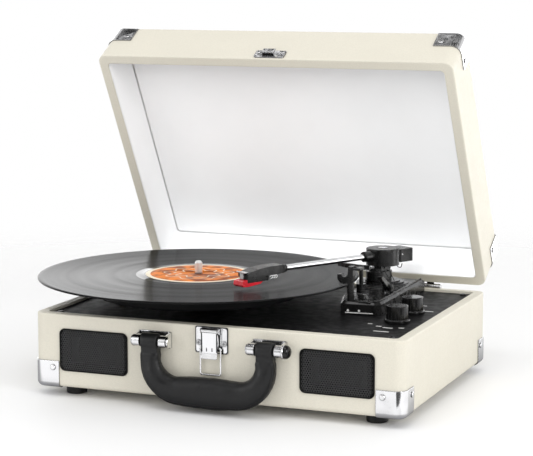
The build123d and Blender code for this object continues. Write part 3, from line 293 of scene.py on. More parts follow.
def metal(name, colour, roughness, brushed=None, wave=0.015, edge=0.35, outline=0.9):
    """Plated or brushed metal: hairline scratches, smudges, uneven pressing, edges darkened as a painted dark
    reflection, and painted shade in narrow gaps.
    """
    g = Graph(name)
    soft, mask = g.edges(edge)
    lines = g.noise(900, 2.0, g.stretched(brushed or (1.0, 0.18, 1.0)))
    depth = 0.006 if brushed else 0.0015
    height = g.math("MULTIPLY", lines, depth * MM)
    height = g.math("ADD", height, g.math("MULTIPLY", g.noise(70, 1.0), wave * MM))
    smudge = g.remap(g.noise(45, 5.0), 0.42, 0.72)
    base = g.mix(smudge, colour, shade(colour, 0.86))
    # Painted dark reflection: sharp edges darkened towards the edge tone.
    base = g.mix(g.math("MULTIPLY", mask, 0.7), base, shade(colour, outline))
    # Painted shade in narrow gaps, from ambient occlusion.
    gap = g.add("ShaderNodeAmbientOcclusion", {"Distance": 3 * MM}, samples=6).outputs["AO"]
    base = g.mix(g.remap(gap, 0.45, 0.9), shade(colour, 0.06), base)
    rough = g.math("ADD", g.math("MULTIPLY", smudge, 0.09), roughness)
    rough = g.math("ADD", rough, g.math("MULTIPLY", lines, 0.05))
    return g.done(Base_Color=base, Metallic=1.0, Roughness=rough, Normal=g.bump(height, soft))


def rubber(name, colour, roughness):
    """Moulded rubber or pressed paper: fine grain, dusty patches and paler edges."""
    g = Graph(name)
    soft, mask = g.edges(0.6)
    height = g.math("MULTIPLY", g.noise(1500, 4.0), 0.02 * MM)
    base = g.mix(g.remap(g.noise(90, 5.0), 0.4, 0.75, 0.0, 0.5), colour, shade(colour, 2.4))
    base = g.mix(g.math("MULTIPLY", mask, 0.4), base, shade(colour, 3.5))
    rough = g.remap(g.noise(200, 3.0), 0.3, 0.7, roughness - 0.08, roughness + 0.1)
    return g.done(Base_Color=base, Roughness=rough, Normal=g.bump(height, soft))


def in_box(g, low, high, axes):
    """1 inside a box given by limits on the object's place, in frame metres."""
    share = 1.0
    for value, least, most in zip(axes, low, high):
        share = g.math("MULTIPLY", share, g.math("GREATER_THAN", value, least))
        share = g.math("MULTIPLY", share, g.math("LESS_THAN", value, most))
    return share


def painted_shade_inside(g):
    """The inside of the base that is painted near-black as painted shade: the cavity under the deck, and the
    openings' walls.
    """
    axes = g.axes()
    low = at(CASE[0].x + CORNER_CLEAR, CASE[0].y + CORNER_CLEAR, CASE[0].z + CORNER_CLEAR)
    high = at(CASE[1].x - CORNER_CLEAR, CASE[1].y - CORNER_CLEAR, DECK[0].z)
    shares = in_box(g, low, high, axes)
    for node in ("left_speaker_grille", "right_speaker_grille"):
        opening = size_of(node)
        low = at(opening[0].x, CASE[0].y + SKIN, opening[0].z)
        high = at(opening[1].x, CASE[0].y + CORNER_CLEAR + 1, opening[1].z)
        shares = g.math("MAXIMUM", shares, in_box(g, low, high, axes))
    return shares


def lining():
    """Smooth satin paper lining: very fine weave, soft sheen and faint waviness."""
    g = Graph("lid_lining")
    soft, mask = g.edges(2.5)
    warp = g.noise(1800, 2.0, g.stretched((1.0, 0.12, 1.0)))
    weft = g.noise(1800, 2.0, g.stretched((0.12, 1.0, 1.0)))
    weave = g.math("MULTIPLY", g.math("ADD", warp, weft), 0.008 * MM)
    height = g.math("ADD", weave, g.math("MULTIPLY", g.noise(9, 2.0), 0.35 * MM))
    base = g.mix(g.remap(g.noise(12, 4.0), 0.35, 0.7), rgb(0.93, 0.935, 0.94), rgb(0.90, 0.905, 0.91))
    # Painted shade: the lining darkened along its sharp edges and inner corners.
    base = g.mix(g.math("MULTIPLY", mask, 0.5), base, rgb(0.66, 0.66, 0.65))
    rough = g.remap(g.noise(300, 3.0), 0.3, 0.7, 0.42, 0.56)
    return g.done(Base_Color=base, Roughness=rough, Normal=g.bump(height, soft), Sheen_Weight=0.15)


def vinyl():
    """Pressed record: grooves in bands of uneven loudness round the middle, with clear gaps."""
    g = Graph("record_vinyl")
    radius = g.flat_place()[2]
    ring = g.add("ShaderNodeCombineXYZ", {0: radius}).outputs[0]
    loud = g.noise(70, 4.0, ring)
    fine = g.noise(2400, 1.0, ring)
    gaps = g.noise(140, 0.0, ring)
    gap = g.remap(gaps, 0.60, 0.66)
    height = g.math("MULTIPLY", fine, 0.004 * MM)
    base = g.mix(gap, rgb(0.006, 0.006, 0.0065), rgb(0.003, 0.003, 0.003))
    run_out = g.remap(radius, 0.0595, 0.0585)
    groove_rough = g.remap(loud, 0.3, 0.7, 0.17, 0.27)
    rough = g.add("ShaderNodeMix", {0: run_out, 2: groove_rough, 3: 0.07}).outputs[0]
    tangent = g.add("ShaderNodeTangent", direction_type="RADIAL", axis="Z").outputs[0]
    g.done(
        Base_Color=base,
        Roughness=rough,
        Normal=g.bump(height),
        Anisotropic=0.8,
        Anisotropic_Rotation=0.25,
        Tangent=tangent,
        Specular_IOR_Level=0.2,
        Coat_Weight=0.08,
        Coat_Roughness=0.03,
    )
    # Part of the light is lost in the grooves, less so in the smooth run-out.
    matte = g.add("ShaderNodeBsdfDiffuse", {"Color": base}).outputs[0]
    share = g.remap(run_out, 0.0, 1.0, 0.55, 0.3)
    both = g.add("ShaderNodeMixShader", {0: share, 1: g.shader.outputs[0], 2: matte}).outputs[0]
    g.tree.links.new(both, g.tree.nodes["Material Output"].inputs["Surface"])
    return g.material


def label_print():
    """Paper label: orange field, darker clouds, a pale ring and a plain wave motif."""
    g = Graph("record_label")
    x, y, radius = g.flat_place()
    turn = g.math("ARCTAN2", y, x)
    clouds = g.remap(g.noise(75, 5.0), 0.42, 0.62)
    base = g.mix(clouds, rgb(0.86, 0.25, 0.03), rgb(0.30, 0.07, 0.015))
    petals = g.math("SINE", g.math("MULTIPLY", turn, 9.0))
    wave = g.math("ADD", radius, g.math("MULTIPLY", petals, 0.0035))
    for middle, half in ((0.020, 0.0013), (0.030, 0.0009)):
        band = g.remap(g.math("ABSOLUTE", g.math("SUBTRACT", wave, middle)), half, half * 0.6)
        base = g.mix(g.math("MULTIPLY", band, 0.85), base, rgb(0.85, 0.78, 0.64))
    rim = g.remap(radius, 0.0452, 0.0458)
    base = g.mix(rim, base, rgb(0.86, 0.76, 0.60))
    height = g.math("MULTIPLY", g.noise(1200, 3.0), 0.01 * MM)
    return g.done(Base_Color=base, Roughness=0.5, Normal=g.bump(height), Specular_IOR_Level=0.15)


CREAM = rgb(0.735, 0.70, 0.60)
BLACK = rgb(0.005, 0.005, 0.005)
# By material slot. The values after a colour follow the finish's own parameters: grain (cells per
# metre), depth (mm), roughness, edge radius (mm) for leather; roughness, grain depth (mm), edge and
# coat for plastic; roughness, hairline stretch, waviness (mm), edge and edge tone, a painted dark edge
# reflection, for metal.
FINISHES = {
    "case_cover": leather("case_cover", CREAM, 1100, 0.05, 0.5, 0.9, rgb(0.60, 0.56, 0.45), painted_shade_inside),
    "lid_lining": lining(),
    "chrome": metal("chrome", rgb(0.92, 0.92, 0.93), 0.05, None, 0.2, 0.9, 0.12),
    "steel": metal("steel", rgb(0.62, 0.62, 0.63), 0.24, (1.0, 1.0, 0.1)),
    "rubber": rubber("rubber", rgb(0.006, 0.006, 0.006), 0.38),
    "deck_black": plastic("deck_black", rgb(0.006, 0.006, 0.0065), 0.5, 0.02, specular=0.12),
    "arm_black": plastic("arm_black", BLACK, 0.25, 0.006),
    "knob_black": plastic("knob_black", grey(0.003), 0.12, 0.002, 0.5, 0.1, grey(0.2), 0.4),
    "grille_black": plastic("grille_black", rgb(0.020, 0.020, 0.0205), 0.36, 0.01, 0.0),
    "cone_paper": rubber("cone_paper", rgb(0.008, 0.008, 0.008), 0.6),
    "magnet": rubber("magnet", rgb(0.05, 0.05, 0.05), 0.6),
    "handle_pad": leather("handle_pad", rgb(0.010, 0.010, 0.0105), 620, 0.13, 0.38, 0.5, grey(0.03)),
    "arm_tube": metal("arm_tube", rgb(0.88, 0.88, 0.89), 0.12, (0.25, 0.25, 1.0), 0.0),
    "stylus_red": plastic("stylus_red", rgb(0.62, 0.008, 0.02), 0.22, 0.003, 0.3, 0.4, rgb(0.9, 0.1, 0.1)),
    "board_green": plastic("board_green", rgb(0.02, 0.12, 0.05), 0.3),
    "brass": metal("brass", rgb(0.78, 0.60, 0.30), 0.2, (1.0, 1.0, 0.1)),
}
PRINT_WHITE = plastic("print_white", rgb(0.75, 0.75, 0.73), 0.5, 0.004, 0.05, 0.0, rgb(0.8, 0.8, 0.8))
BRIGHT = metal("bright_steel", rgb(0.95, 0.95, 0.95), 0.34)
# Nodes that need another finish than their slot's.
OTHER_FINISH = {
    "spindle": BRIGHT,
    "lid_corner_guards": metal("guard_chrome", rgb(0.90, 0.90, 0.91), 0.05, None, 0.4, 0.9, 0.12),
    "lid_catch": metal("catch_chrome", rgb(0.90, 0.90, 0.91), 0.05, None, 0.7, 0.9, 0.12),
    "deck_screws": FINISHES["arm_black"],
    "latch_screws": FINISHES["steel"],
}
# Near-black steel for the latch's rolled edge, folds and notches: painted shade lines and painted dark
# reflection.
SHADE_LINE_STEEL = metal("shade_line_steel", rgb(0.05, 0.05, 0.055), 0.2)
TRIM_BLACK = plastic("trim_black", rgb(0.003, 0.003, 0.003), 0.35, 0.006, 0.0, specular=0.15)
WIRE_BLACK = plastic("wire_black", rgb(0.012, 0.012, 0.012), 0.3, 0.004, 0.05)
VINYL = vinyl()
LABEL = label_print()

for part in frame["record"]["subparts"]:
    mesh = NODES[part["node"]].data
    mesh.materials.clear()
    mesh.materials.append(OTHER_FINISH.get(part["node"], FINISHES[part["material_slot"]]))


# ---------------------------------------------------------------------------------------
# Mesh helpers
# ---------------------------------------------------------------------------------------
def new_piece(name, points, faces, material, body=None, smooth=True):
    """An object from points in the frame; rides on a body if one is given."""
    mesh = bpy.data.meshes.new(name)
    mesh.from_pydata([tuple(p) for p in points], [], faces)
    mesh.update()
    mesh.materials.append(material)
    mesh.polygons.foreach_set("use_smooth", [smooth] * len(mesh.polygons))
    piece = bpy.data.objects.new(name, mesh)
    bpy.context.scene.collection.objects.link(piece)
    if body:
        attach(piece, body)
    return piece


def loft(rings, closed=False):
    """Points and faces of a skin through equal rings, capped at both ends unless closed."""
    count = len(rings[0])
    points = [p for ring in rings for p in ring]
    faces = []
    last = len(rings) if closed else len(rings) - 1
    for row in range(last):
        a, b = row * count, (row + 1) % len(rings) * count
        for i in range(count):
            j = (i + 1) % count
            faces.append((a + i, a + j, b + j, b + i))
    if not closed:
        faces.append(tuple(reversed(range(count))))
        faces.append(tuple(range((len(rings) - 1) * count, len(rings) * count)))
    return points, faces


def tube(path, radius, sides):
    """Rings of a round tube along a path of frame points."""
    rings = []
    side = Vector((0.0, 0.0, 1.0))
    for i, p in enumerate(path):
        ahead = path[min(i + 1, len(path) - 1)] - path[max(i - 1, 0)]
        ahead.normalize()
        side = (side - ahead * side.dot(ahead)).normalized()
        other = ahead.cross(side)
        turn = [2 * math.pi * k / sides for k in range(sides)]
        rings.append([p + (side * math.cos(t) + other * math.sin(t)) * radius * MM for t in turn])
    return rings


def smooth_path(corners):
    """Points of a Catmull-Rom curve through the corners."""
    steps = 12
    padded = [corners[0] * 2 - corners[1]] + corners + [corners[-1] * 2 - corners[-2]]
    path = []
    for a, b, c, d in zip(padded, padded[1:], padded[2:], padded[3:]):
        for k in range(steps):
            t = k / steps
            square, cube = a * 2 - b * 5 + c * 4 - d, b * 3 - a - c * 3 + d
            path.append((b * 2 + (c - a) * t + square * t * t + cube * t**3) / 2)
    return path + [corners[-1]]


def lathe(profile, centre, steps):
    """Rings of a body of revolution about a vertical axis, from (radius, height) pairs."""
    rings = []
    for radius, height in profile:
        turn = [2 * math.pi * k / steps for k in range(steps)]
        ring = [Vector((math.cos(t) * radius, math.sin(t) * radius, height)) for t in turn]
        rings.append([centre + p * MM for p in ring])
    return rings


def smoothstep(t):
    """Ease from 0 to 1."""
    t = max(0.0, min(1.0, t))
    return t * t * (3 - 2 * t)


# ---------------------------------------------------------------------------------------
# Padded handle: a strap that wraps each pin, then swells into the stuffed grip
# ---------------------------------------------------------------------------------------
def handle():
    """The leather grip: one skin from pin to pin, with a seam and bead round its padded part."""
    pin_z = (PINS[0].z + PINS[1].z) / 2
    pin_y = (PINS[0].y + PINS[1].y) / 2
    bracket_half = 16.0
    strap_half = 7.9
    leg_half = 9.0
    grip_half = 14.0
    grip_thick = 8.4
    strap_thick = 5.4
    bend = 27.0
    # Seam and bead: place round the section (radians), half width (radians), and share of the radius.
    seam_turn, seam_half, seam_depth = 0.62, 0.055, 0.085
    bead_turn, bead_half, bead_height = 0.47, 0.07, 0.035
    middle_z = GRIP[0].z + grip_half
    leg_x = BRACKETS[1].x - bracket_half
    wrap_r = GRIP[1].z - pin_z
    leg = pin_z - middle_z - bend
    arc = bend * math.pi / 2
    total = leg + arc + leg_x - bend

    def centre(s):
        """Place, and direction away from the inside of the U, at s from a pin, as (x, z)."""
        if s < leg:
            return (-leg_x, pin_z - s), (-1.0, 0.0)
        if s < leg + arc:
            a = (s - leg) / bend
            place = (-leg_x + bend - bend * math.cos(a), middle_z + bend - bend * math.sin(a))
            return place, (-math.cos(a), -math.sin(a))
        return (-leg_x + bend + s - leg - arc, middle_z), (0.0, -1.0)

    def section(s):
        """Half width, half thickness and squareness of the grip at s from a pin."""
        if s < 0:
            return strap_half, math.sqrt(max(wrap_r**2 - s * s, 0.0)), 7.0
        flare = strap_half + (leg_half - strap_half) * smoothstep((s - 6) / 7)
        wide = flare + (grip_half - leg_half) * smoothstep((s - 10) / (total - 10)) ** 0.85
        wrapped = math.sqrt(max(wrap_r**2 - s * s, 0.0)) if s < wrap_r else 0.0
        strap = max(wrapped, strap_thick)
        thick = strap + (grip_thick - strap) * smoothstep((s - 8) / 24)
        crease = 0.6 * math.exp(-(((s - 9.5) / 1.2) ** 2))
        return wide - crease * 0.4, thick - crease, 7.0 - 4.7 * smoothstep((s - 3) / 14)

    stations = [-wrap_r * math.cos(math.radians(a)) for a in (2, 12, 24, 38, 52, 66, 80)]
    steps = 84
    stations += [total * k / steps for k in range(steps + 1)]
    halves = 72
    rings = []
    for mirror, order in ((1, stations), (-1, list(reversed(stations))[1:])):
        for s in order:
            (x, z), away = centre(max(s, 0.0))
            if s < 0:
                z = pin_z - s
            wide, thick, power = section(s)
            padded = smoothstep((s - 10) / 6)
            ring = []
            for k in range(halves):
                t = 2 * math.pi * k / halves
                c, sn = math.cos(t), math.sin(t)
                u = wide * math.copysign(abs(c) ** (2 / power), c)
                v = thick * math.copysign(abs(sn) ** (2 / power), sn)
                turn = min(t, 2 * math.pi - t)
                seam = abs(turn - seam_turn) / seam_half
                bead = abs(turn - bead_turn) / bead_half
                shrink = 1 - seam_depth * padded * math.exp(-(seam**2))
                shrink += bead_height * padded * math.exp(-(bead**2))
                welt = 1 + 0.012 * padded * smoothstep((seam_turn - turn) / 0.2)
                px = (x + away[0] * u * shrink * welt) * mirror
                p = Vector((px, pin_y + v * shrink, z + away[1] * u * shrink * welt))
                rumple = noise.noise(p * 0.09) * 0.28 + noise.noise(p * 0.35) * 0.07
                out = Vector((away[0] * c * mirror, sn, away[1] * c))
                p += out * rumple * padded
                ring.append(at(*p))
            rings.append(ring)
    points, faces = loft(rings)
    piece = new_piece("padded_handle", points, faces, FINISHES["handle_pad"], "carry_handle")
    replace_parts(piece, "handle_grip")


# ---------------------------------------------------------------------------------------
# Speaker grilles: a perforated sheet in a crowned frame
# ---------------------------------------------------------------------------------------
def rounded_outline(half_w, half_h, radius):
    """Points round a rounded rectangle, counter-clockwise from its right side."""
    steps = 8
    outline = []
    corners = ((1, 1, 0), (-1, 1, 90), (-1, -1, 180), (1, -1, 270))
    for sx, sz, start in corners:
        for k in range(steps + 1):
            a = math.radians(start + 90 * k / steps)
            x = sx * (half_w - radius) + radius * math.cos(a)
            outline.append((x, sz * (half_h - radius) + radius * math.sin(a)))
    return outline


def grille(side):
    """A perforated sheet in its frame, in place of a speaker grille's plain CAD solid."""
    node = f"{side}_speaker_grille"
    low, high = size_of(node)
    mid_x, mid_z = (low.x + high.x) / 2, (low.z + high.z) / 2
    back, front = high.y, low.y
    half_w, half_h = (high.x - low.x) / 2, (high.z - low.z) / 2
    points, faces = [], []
    # Frame: back edge, flat crown and inner lip, as insets from the outline.
    # Its inner flange runs in behind the sheet and back along the opening, and hides the case's wall.
    profile = ((0.0, back), (0.0, front + 0.45), (0.15, front + 0.12), (0.4, front), (0.8, front))
    profile += ((1.05, front + 0.12), (1.15, front + 1.0), (6.6, front + 1.0), (6.6, back + 6))
    rings = []
    for inset, y in profile:
        outline = rounded_outline(half_w - inset, half_h - inset, max(GRILLE_CORNER - inset, 0.8))
        rings.append([at(mid_x + x, y, mid_z + z) for x, z in outline])
    rings = [list(column) for column in zip(*rings)]
    frame_points, frame_faces = loft(rings, closed=True)
    new_piece(f"{side}_framed_grille", frame_points, frame_faces, TRIM_BLACK, "base")
    # Sheet: rows of oblong cells with a round hole in each, every other row half a cell along.
    pitch_x, pitch_z, hole = 2.3, 1.9, 0.80
    rim, corner_reach = 1.1, 3.2
    columns = int(2 * (half_w - rim) / pitch_x)
    rows = int(2 * (half_h - rim) / pitch_z)
    left, bottom = mid_x - columns * pitch_x / 2, mid_z - rows * pitch_z / 2
    skin, under = front + 0.45, front + 0.95
    square = [(0.5, 0), (0.5, 0.5), (0, 0.5), (-0.5, 0.5), (-0.5, 0), (-0.5, -0.5), (0, -0.5), (0.5, -0.5)]
    index = {}

    def point(x, y, z):
        key = (round(x, 3), round(y, 3), round(z, 3))
        if key not in index:
            index[key] = len(points)
            points.append(at(x, y, z))
        return index[key]

    def in_corner(x, z):
        """Whether a cell would show outside the frame's rounded corner."""
        dx = abs(x - mid_x) - (half_w - GRILLE_CORNER)
        dz = abs(z - mid_z) - (half_h - GRILLE_CORNER)
        return dx > 0 and dz > 0 and math.hypot(dx, dz) > corner_reach

    for row in range(rows):
        z = bottom + (row + 0.5) * pitch_z
        shift = 0.5 if row % 2 else 0.0
        for column in range(columns - row % 2):
            x = left + (column + 0.5 + shift) * pitch_x
            if in_corner(x, z):
                continue
            ring = [(x + sx * pitch_x, z + sz * pitch_z) for sx, sz in square]
            turn = [math.pi * k / 4 for k in range(8)]
            bore = [(x + hole * math.cos(t), z + hole * math.sin(t)) for t in turn]
            for k in range(8):
                n = (k + 1) % 8
                a, b, c, d = ring[k], ring[n], bore[n], bore[k]
                faces.append(tuple(point(px, skin, pz) for px, pz in (a, b, c, d)))
                faces.append(tuple(point(px, under, pz) for px, pz in (d, c, b, a)))
                wall = ((d, skin), (c, skin), (c, under), (d, under))
                faces.append(tuple(point(p[0], y, p[1]) for p, y in wall))
    name, black = f"{side}_perforated_grille", FINISHES["grille_black"]
    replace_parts(new_piece(name, points, faces, black, "base", smooth=False), node)


# ---------------------------------------------------------------------------------------
# Latch: rolled edges round the plate, folded sides and finger notches on the lever, in near-black steel as
# painted shade lines
# ---------------------------------------------------------------------------------------
def latch_trim():
    """Rolled edge round the latch plate, and the lever's folded sides and two notches, in near-black steel as
    painted shade lines and painted dark reflection.
    """
    low, high = size_of("latch_plate")
    mid_x, mid_z = (low.x + high.x) / 2, (low.z + high.z) / 2
    half_w, half_h = (high.x - low.x) / 2, (high.z - low.z) / 2
    face = CASE[0].y - 1.0
    rings = []
    for inset, y in ((-0.5, CASE[0].y), (-0.5, face), (0.25, face - 0.15), (0.4, CASE[0].y)):
        outline = rounded_outline(half_w - inset, half_h - inset, 1.6)
        rings.append([at(mid_x + x, y, mid_z + z) for x, z in outline])
    points, faces = loft([list(column) for column in zip(*rings)], closed=True)
    new_piece("latch_plate_edge", points, faces, SHADE_LINE_STEEL, "base", smooth=False)
    low, high = size_of("latch_lever")
    mid_x = (low.x + high.x) / 2
    for side, name in ((-1, "left"), (1, "right")):
        x = mid_x + side * LEVER_HALF
        section = [(-0.45, 0.3), (-0.45, -0.3), (0.0, -0.5), (0.45, -0.3), (0.45, 0.3)]
        heights = [low.z + 6 + k * (high.z - low.z - 10) / 6 for k in range(7)]
        rings = [[at(x + u, LEVER_FACE + v, z) for u, v in section] for z in heights]
        points, faces = loft(rings)
        new_piece(f"lever_fold_{name}", points, faces, SHADE_LINE_STEEL, "latch_lever", smooth=False)
    notch_r = 0.4
    half_turn = (0, 1.05, 2.1, 3.14)
    for number, shift in enumerate((-2.6, 2.6)):
        middle = mid_x + shift
        arc = [(middle + notch_r * math.cos(a), LEVER_FACE + 0.2 - notch_r * math.sin(a)) for a in half_turn]
        points, faces = loft([[at(x, y, z) for x, y in arc] for z in (low.z + 6.5, low.z + 9.5)])
        name = f"lever_notch_{number + 1}"
        new_piece(name, points, faces, SHADE_LINE_STEEL, "latch_lever", smooth=False)


# ---------------------------------------------------------------------------------------
# Small pieces that ride on the case, the deck and the arm
# ---------------------------------------------------------------------------------------
def strip(name, start, end, width, z):
    """A thin printed bar on a horizontal face of the base."""
    thick = 0.08
    a, b = Vector((*start, z)), Vector((*end, z))
    along = (b - a).normalized()
    side = Vector((-along.y, along.x, 0)) * width / 2
    base = [a - side, b - side, b + side, a + side]
    points = [at(*p) for p in base] + [at(*(p + Vector((0, 0, thick)))) for p in base]
    faces = [(3, 2, 1, 0), (4, 5, 6, 7), (0, 1, 5, 4), (1, 2, 6, 5), (2, 3, 7, 6), (3, 0, 4, 7)]
    return new_piece(name, points, faces, PRINT_WHITE, "base", smooth=False)


def dot(name, x, y, z, radius, height, material, body, slot):
    """A low round button with a softened rim."""
    profile = [(radius, 0.0), (radius, height * 0.6), (radius * 0.8, height * 0.92), (radius * 0.3, height)]
    points, faces = loft(lathe(profile, at(x, y, z), 20))
    return new_piece(name, points, faces, material, body)


def deck_marks():
    """Plain bars and dots printed on the deck round the knobs and on the platform's front wall."""
    z = DECK_TOP
    nose = size_of("arm_base")[0]

    def on_wall(x, height, lift):
        """A place on the platform's front wall, which slants back to the right."""
        return at(x, nose.y + (x - NOSE_LEFT) * NOSE_SLANT - lift, height)

    def wall_mark(name, outline):
        sunk, proud = -0.1, 0.08
        points, faces = loft([[on_wall(x, h, lift) for x, h in outline] for lift in (sunk, proud)])
        new_piece(name, points, faces, PRINT_WHITE, "base", smooth=False)

    left, right, height = SPEED_LINE
    top = height + 0.9
    wall_mark("speed_mark_line", [(left, height), (right, height), (right, top), (left, top)])
    for number, x in enumerate((left + 2.5, left + 12.8)):
        turn = [math.pi * k / 6 for k in range(12)]
        round_mark = [(x + 1.1 * math.cos(a), height + 2.4 + 1.1 * math.sin(a)) for a in turn]
        wall_mark(f"speed_mark_dot_{number + 1}", round_mark)
    for number, (x, y, length) in enumerate(KNOB_MARKS):
        strip(f"knob_mark_{number + 1}", (x - length / 2, y), (x + length / 2, y), 1.9, z)


def signal_wires():
    """Two thin leads that hang in a bow from the arm's turret to the platform."""
    for number, shift in enumerate((0.0, 2.4)):
        top = at(PIVOT.x + 6.5 + shift * 1.6, PIVOT.y - 12.5 + shift, 103)
        low = at(PIVOT.x + 18 + shift, PIVOT.y - 24 + shift, BASE_TOP)
        corners = [top, top + Vector((1.5, -2, -5)) * MM, top.lerp(low, 0.66) + Vector((0, 0.5, 1)) * MM, low]
        points, faces = loft(tube(smooth_path(corners), WIRE_R, 8))
        piece = new_piece(f"signal_wire_{number + 1}", points, faces, WIRE_BLACK)
        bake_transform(piece)
    loop = ((12, 5, 104.6), (13.5, 6, 101.4), (16, 7, 101), (17, 8, 104.6))
    corners = [at(PIVOT.x + dx, PIVOT.y + dy, z) for dx, dy, z in loop]
    points, faces = loft(tube(smooth_path(corners), WIRE_R, 8))
    new_piece("tail_wire_loop", points, faces, WIRE_BLACK, "tonearm")


def arm(d, w, z):
    """A place on the tonearm at rest: d along it from the pivot, w to its right, z up."""
    angle = math.radians(ARM_ANGLE)
    x = PIVOT.x - math.sin(angle) * d + math.cos(angle) * w
    y = PIVOT.y - math.cos(angle) * d - math.sin(angle) * w
    return at(x, y, z)


def bar(name, corners, thick, material, body, shape=arm):
    """A flat plate with rounded edges: its outline in (d, z), and its width as thick."""
    inset = 0.25
    middle_d = sum(d for d, z in corners) / len(corners)
    middle_z = sum(z for d, z in corners) / len(corners)
    rings = []
    half = thick / 2
    for w, shrink in ((-half, inset), (inset - half, 0), (half - inset, 0), (half, inset)):
        ring = []
        for d, z in corners:
            away = Vector((d - middle_d, z - middle_z))
            away -= away.normalized() * shrink
            ring.append(shape(middle_d + away.x, w, middle_z + away.y))
        rings.append(ring)
    points, faces = loft(rings)
    return new_piece(name, points, faces, material, body, smooth=False)


def finger_lift():
    """The bright lift on the end of the headshell: a bent blade on a flat stem."""

    def lift(d, w, z):
        """A place on the arm, with d counted from the headshell's tip."""
        return arm(HEADSHELL_TIP + d, w, z)

    blade = [(-4, 114.0), (1.6, 114.4), (4.2, 115.6), (4.0, 116.4), (1.2, 115.4), (-4, 115.0)]
    bar("finger_lift_blade", blade, 9, BRIGHT, "tonearm", lift)
    stem = [(0.2, 115), (1.9, 115), (1.9, 108.9), (0.2, 108.9)]
    bar("finger_lift_stem", stem, 4.5, BRIGHT, "tonearm", lift)


def headshell():
    """The tapered shell, with three rings where the arm's tube enters it."""
    black = FINISHES["arm_black"]
    shell = [(129, 112.2), (129, 117.0), (131, 118.2), (146, 118.4), (160, 117.2), (169, 115.4)]
    shell += [(HEADSHELL_TIP, 113.8), (HEADSHELL_TIP, 110.5), (164, 110.4), (135, 110.4)]
    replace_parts(bar("tapered_headshell", shell, 14, black, "tonearm"), "headshell")
    tube_low, tube_high = size_of("arm_tube")
    tube_z = (tube_low.z + tube_high.z) / 2
    for number, (d, ring_r) in enumerate(((123.4, 3.6), (125.6, 4.0), (127.8, 4.0))):
        points, faces = loft(tube([arm(d + k * 0.45, 0, tube_z) for k in range(5)], ring_r, 24))
        new_piece(f"shell_collar_{number + 1}", points, faces, black, "tonearm")


def cartridge():
    """The red stylus shell under the headshell, and three leads that curl out behind it."""
    wedge = [(155, 105.55), (158, 103.7), (171, 102.2), (177.6, 102.5)]
    wedge += [(179.2, 104.2), (178.6, 107.6), (173.3, 108.6), (173.2, 105.55)]
    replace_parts(bar("stylus_shell", wedge, 13, FINISHES["stylus_red"], "tonearm"), "stylus")
    for number in range(3):
        d = 147.5 - number * 2.6
        curl = ((0, 6.8, 106.4), (-0.6, 8.0, 107.4), (-2.4, 8.3, 108.6))
        curl += ((-1.6, 8.2, 110.2), (0.6, 8.0, 109.4), (0, 6.9, 108.4))
        corners = [arm(d + along, w, z) for along, w, z in curl]
        points, faces = loft(tube(smooth_path(corners), 0.5, 8))
        new_piece(f"cartridge_lead_{number + 1}", points, faces, BRIGHT, "tonearm")


def pivot_details():
    """The silver badge on top of the arm's cap, and the screw in its tail."""
    badge_r, badge_height = 4.6, 0.5
    silver = FINISHES["arm_tube"]
    dot("cap_badge", PIVOT.x, PIVOT.y, ARM_CAP_TOP, badge_r, badge_height, silver, "tonearm", "arm_tube")
    screw_r = 0.9
    turn = [k * math.pi / 6 for k in range(12)]
    side = [arm(screw_r * math.cos(a) - 16.2, 9.9, 113 + screw_r * math.sin(a)) for a in turn]
    out = [p + (arm(0, 0.5, 0) - arm(0, 0, 0)) for p in side]
    points, faces = loft([side, out])
    new_piece("tail_screw", points, faces, FINISHES["chrome"], "tonearm")


def platform_details():
    """Raised rim, stepped arcs and a ribbed nose moulded on the arm's platform."""
    black = FINISHES["arm_black"]
    low, high = size_of("arm_base")
    top = BASE_TOP

    def ridge(name, path, wide, tall):
        """A rounded ridge that stands on the platform along a path of (x, y) places."""
        rings = []
        for i, (x, y) in enumerate(path):
            ahead = Vector(path[min(i + 1, len(path) - 1)]) - Vector(path[max(i - 1, 0)])
            ahead.normalize()
            side = Vector((-ahead.y, ahead.x))
            section = [(-0.5, -0.1), (-0.5, 0.55), (-0.28, 1.0), (0.28, 1.0), (0.5, 0.55), (0.5, -0.1)]
            wide_side = side * wide
            rings.append([at(x + wide_side.x * u, y + wide_side.y * u, top + v * tall) for u, v in section])
        points, faces = loft(rings)
        new_piece(name, points, faces, black, "base")

    # Arcs round the pivot: radius, height and the angle they reach, all from the same start.
    first = -128
    arcs = ((28.0, 1.3, 0), (32.4, 0.9, -30), (37.0, 1.2, -42), (41.6, 0.8, -48))
    for number, (radius, tall, reach) in enumerate(arcs):
        turn = [math.radians(first + (reach - first) * k / 40) for k in range(41)]
        path = [(PIVOT.x + radius * math.cos(a), PIVOT.y + radius * math.sin(a)) for a in turn]
        path = [p for p in path if BASE_LEFT + 3 < p[0] < high.x - 4.4 and p[1] > 16]
        run = [p for p in path if p[1] < PIVOT.y]
        ridge(f"platform_arc_{number + 1}", run, 1.6, tall)
    edge = high.x - 2.9
    rim = [(edge, high.y - 3), (edge, high.y - 50), (edge, -12), (edge - 3.6, -18.4)]
    ridge("platform_right_rim", rim, 1.5, 1.6)
    nose = low.y + 3.4
    for number in range(6):
        y = nose + number * 2.1
        start = BASE_LEFT + 12.5 - number * 0.62
        end = edge - 6 + number * 0.5
        ridge(f"platform_rib_{number + 1}", [(start, y), ((start + edge) / 2, y), (end, y)], 1.1, 0.7)


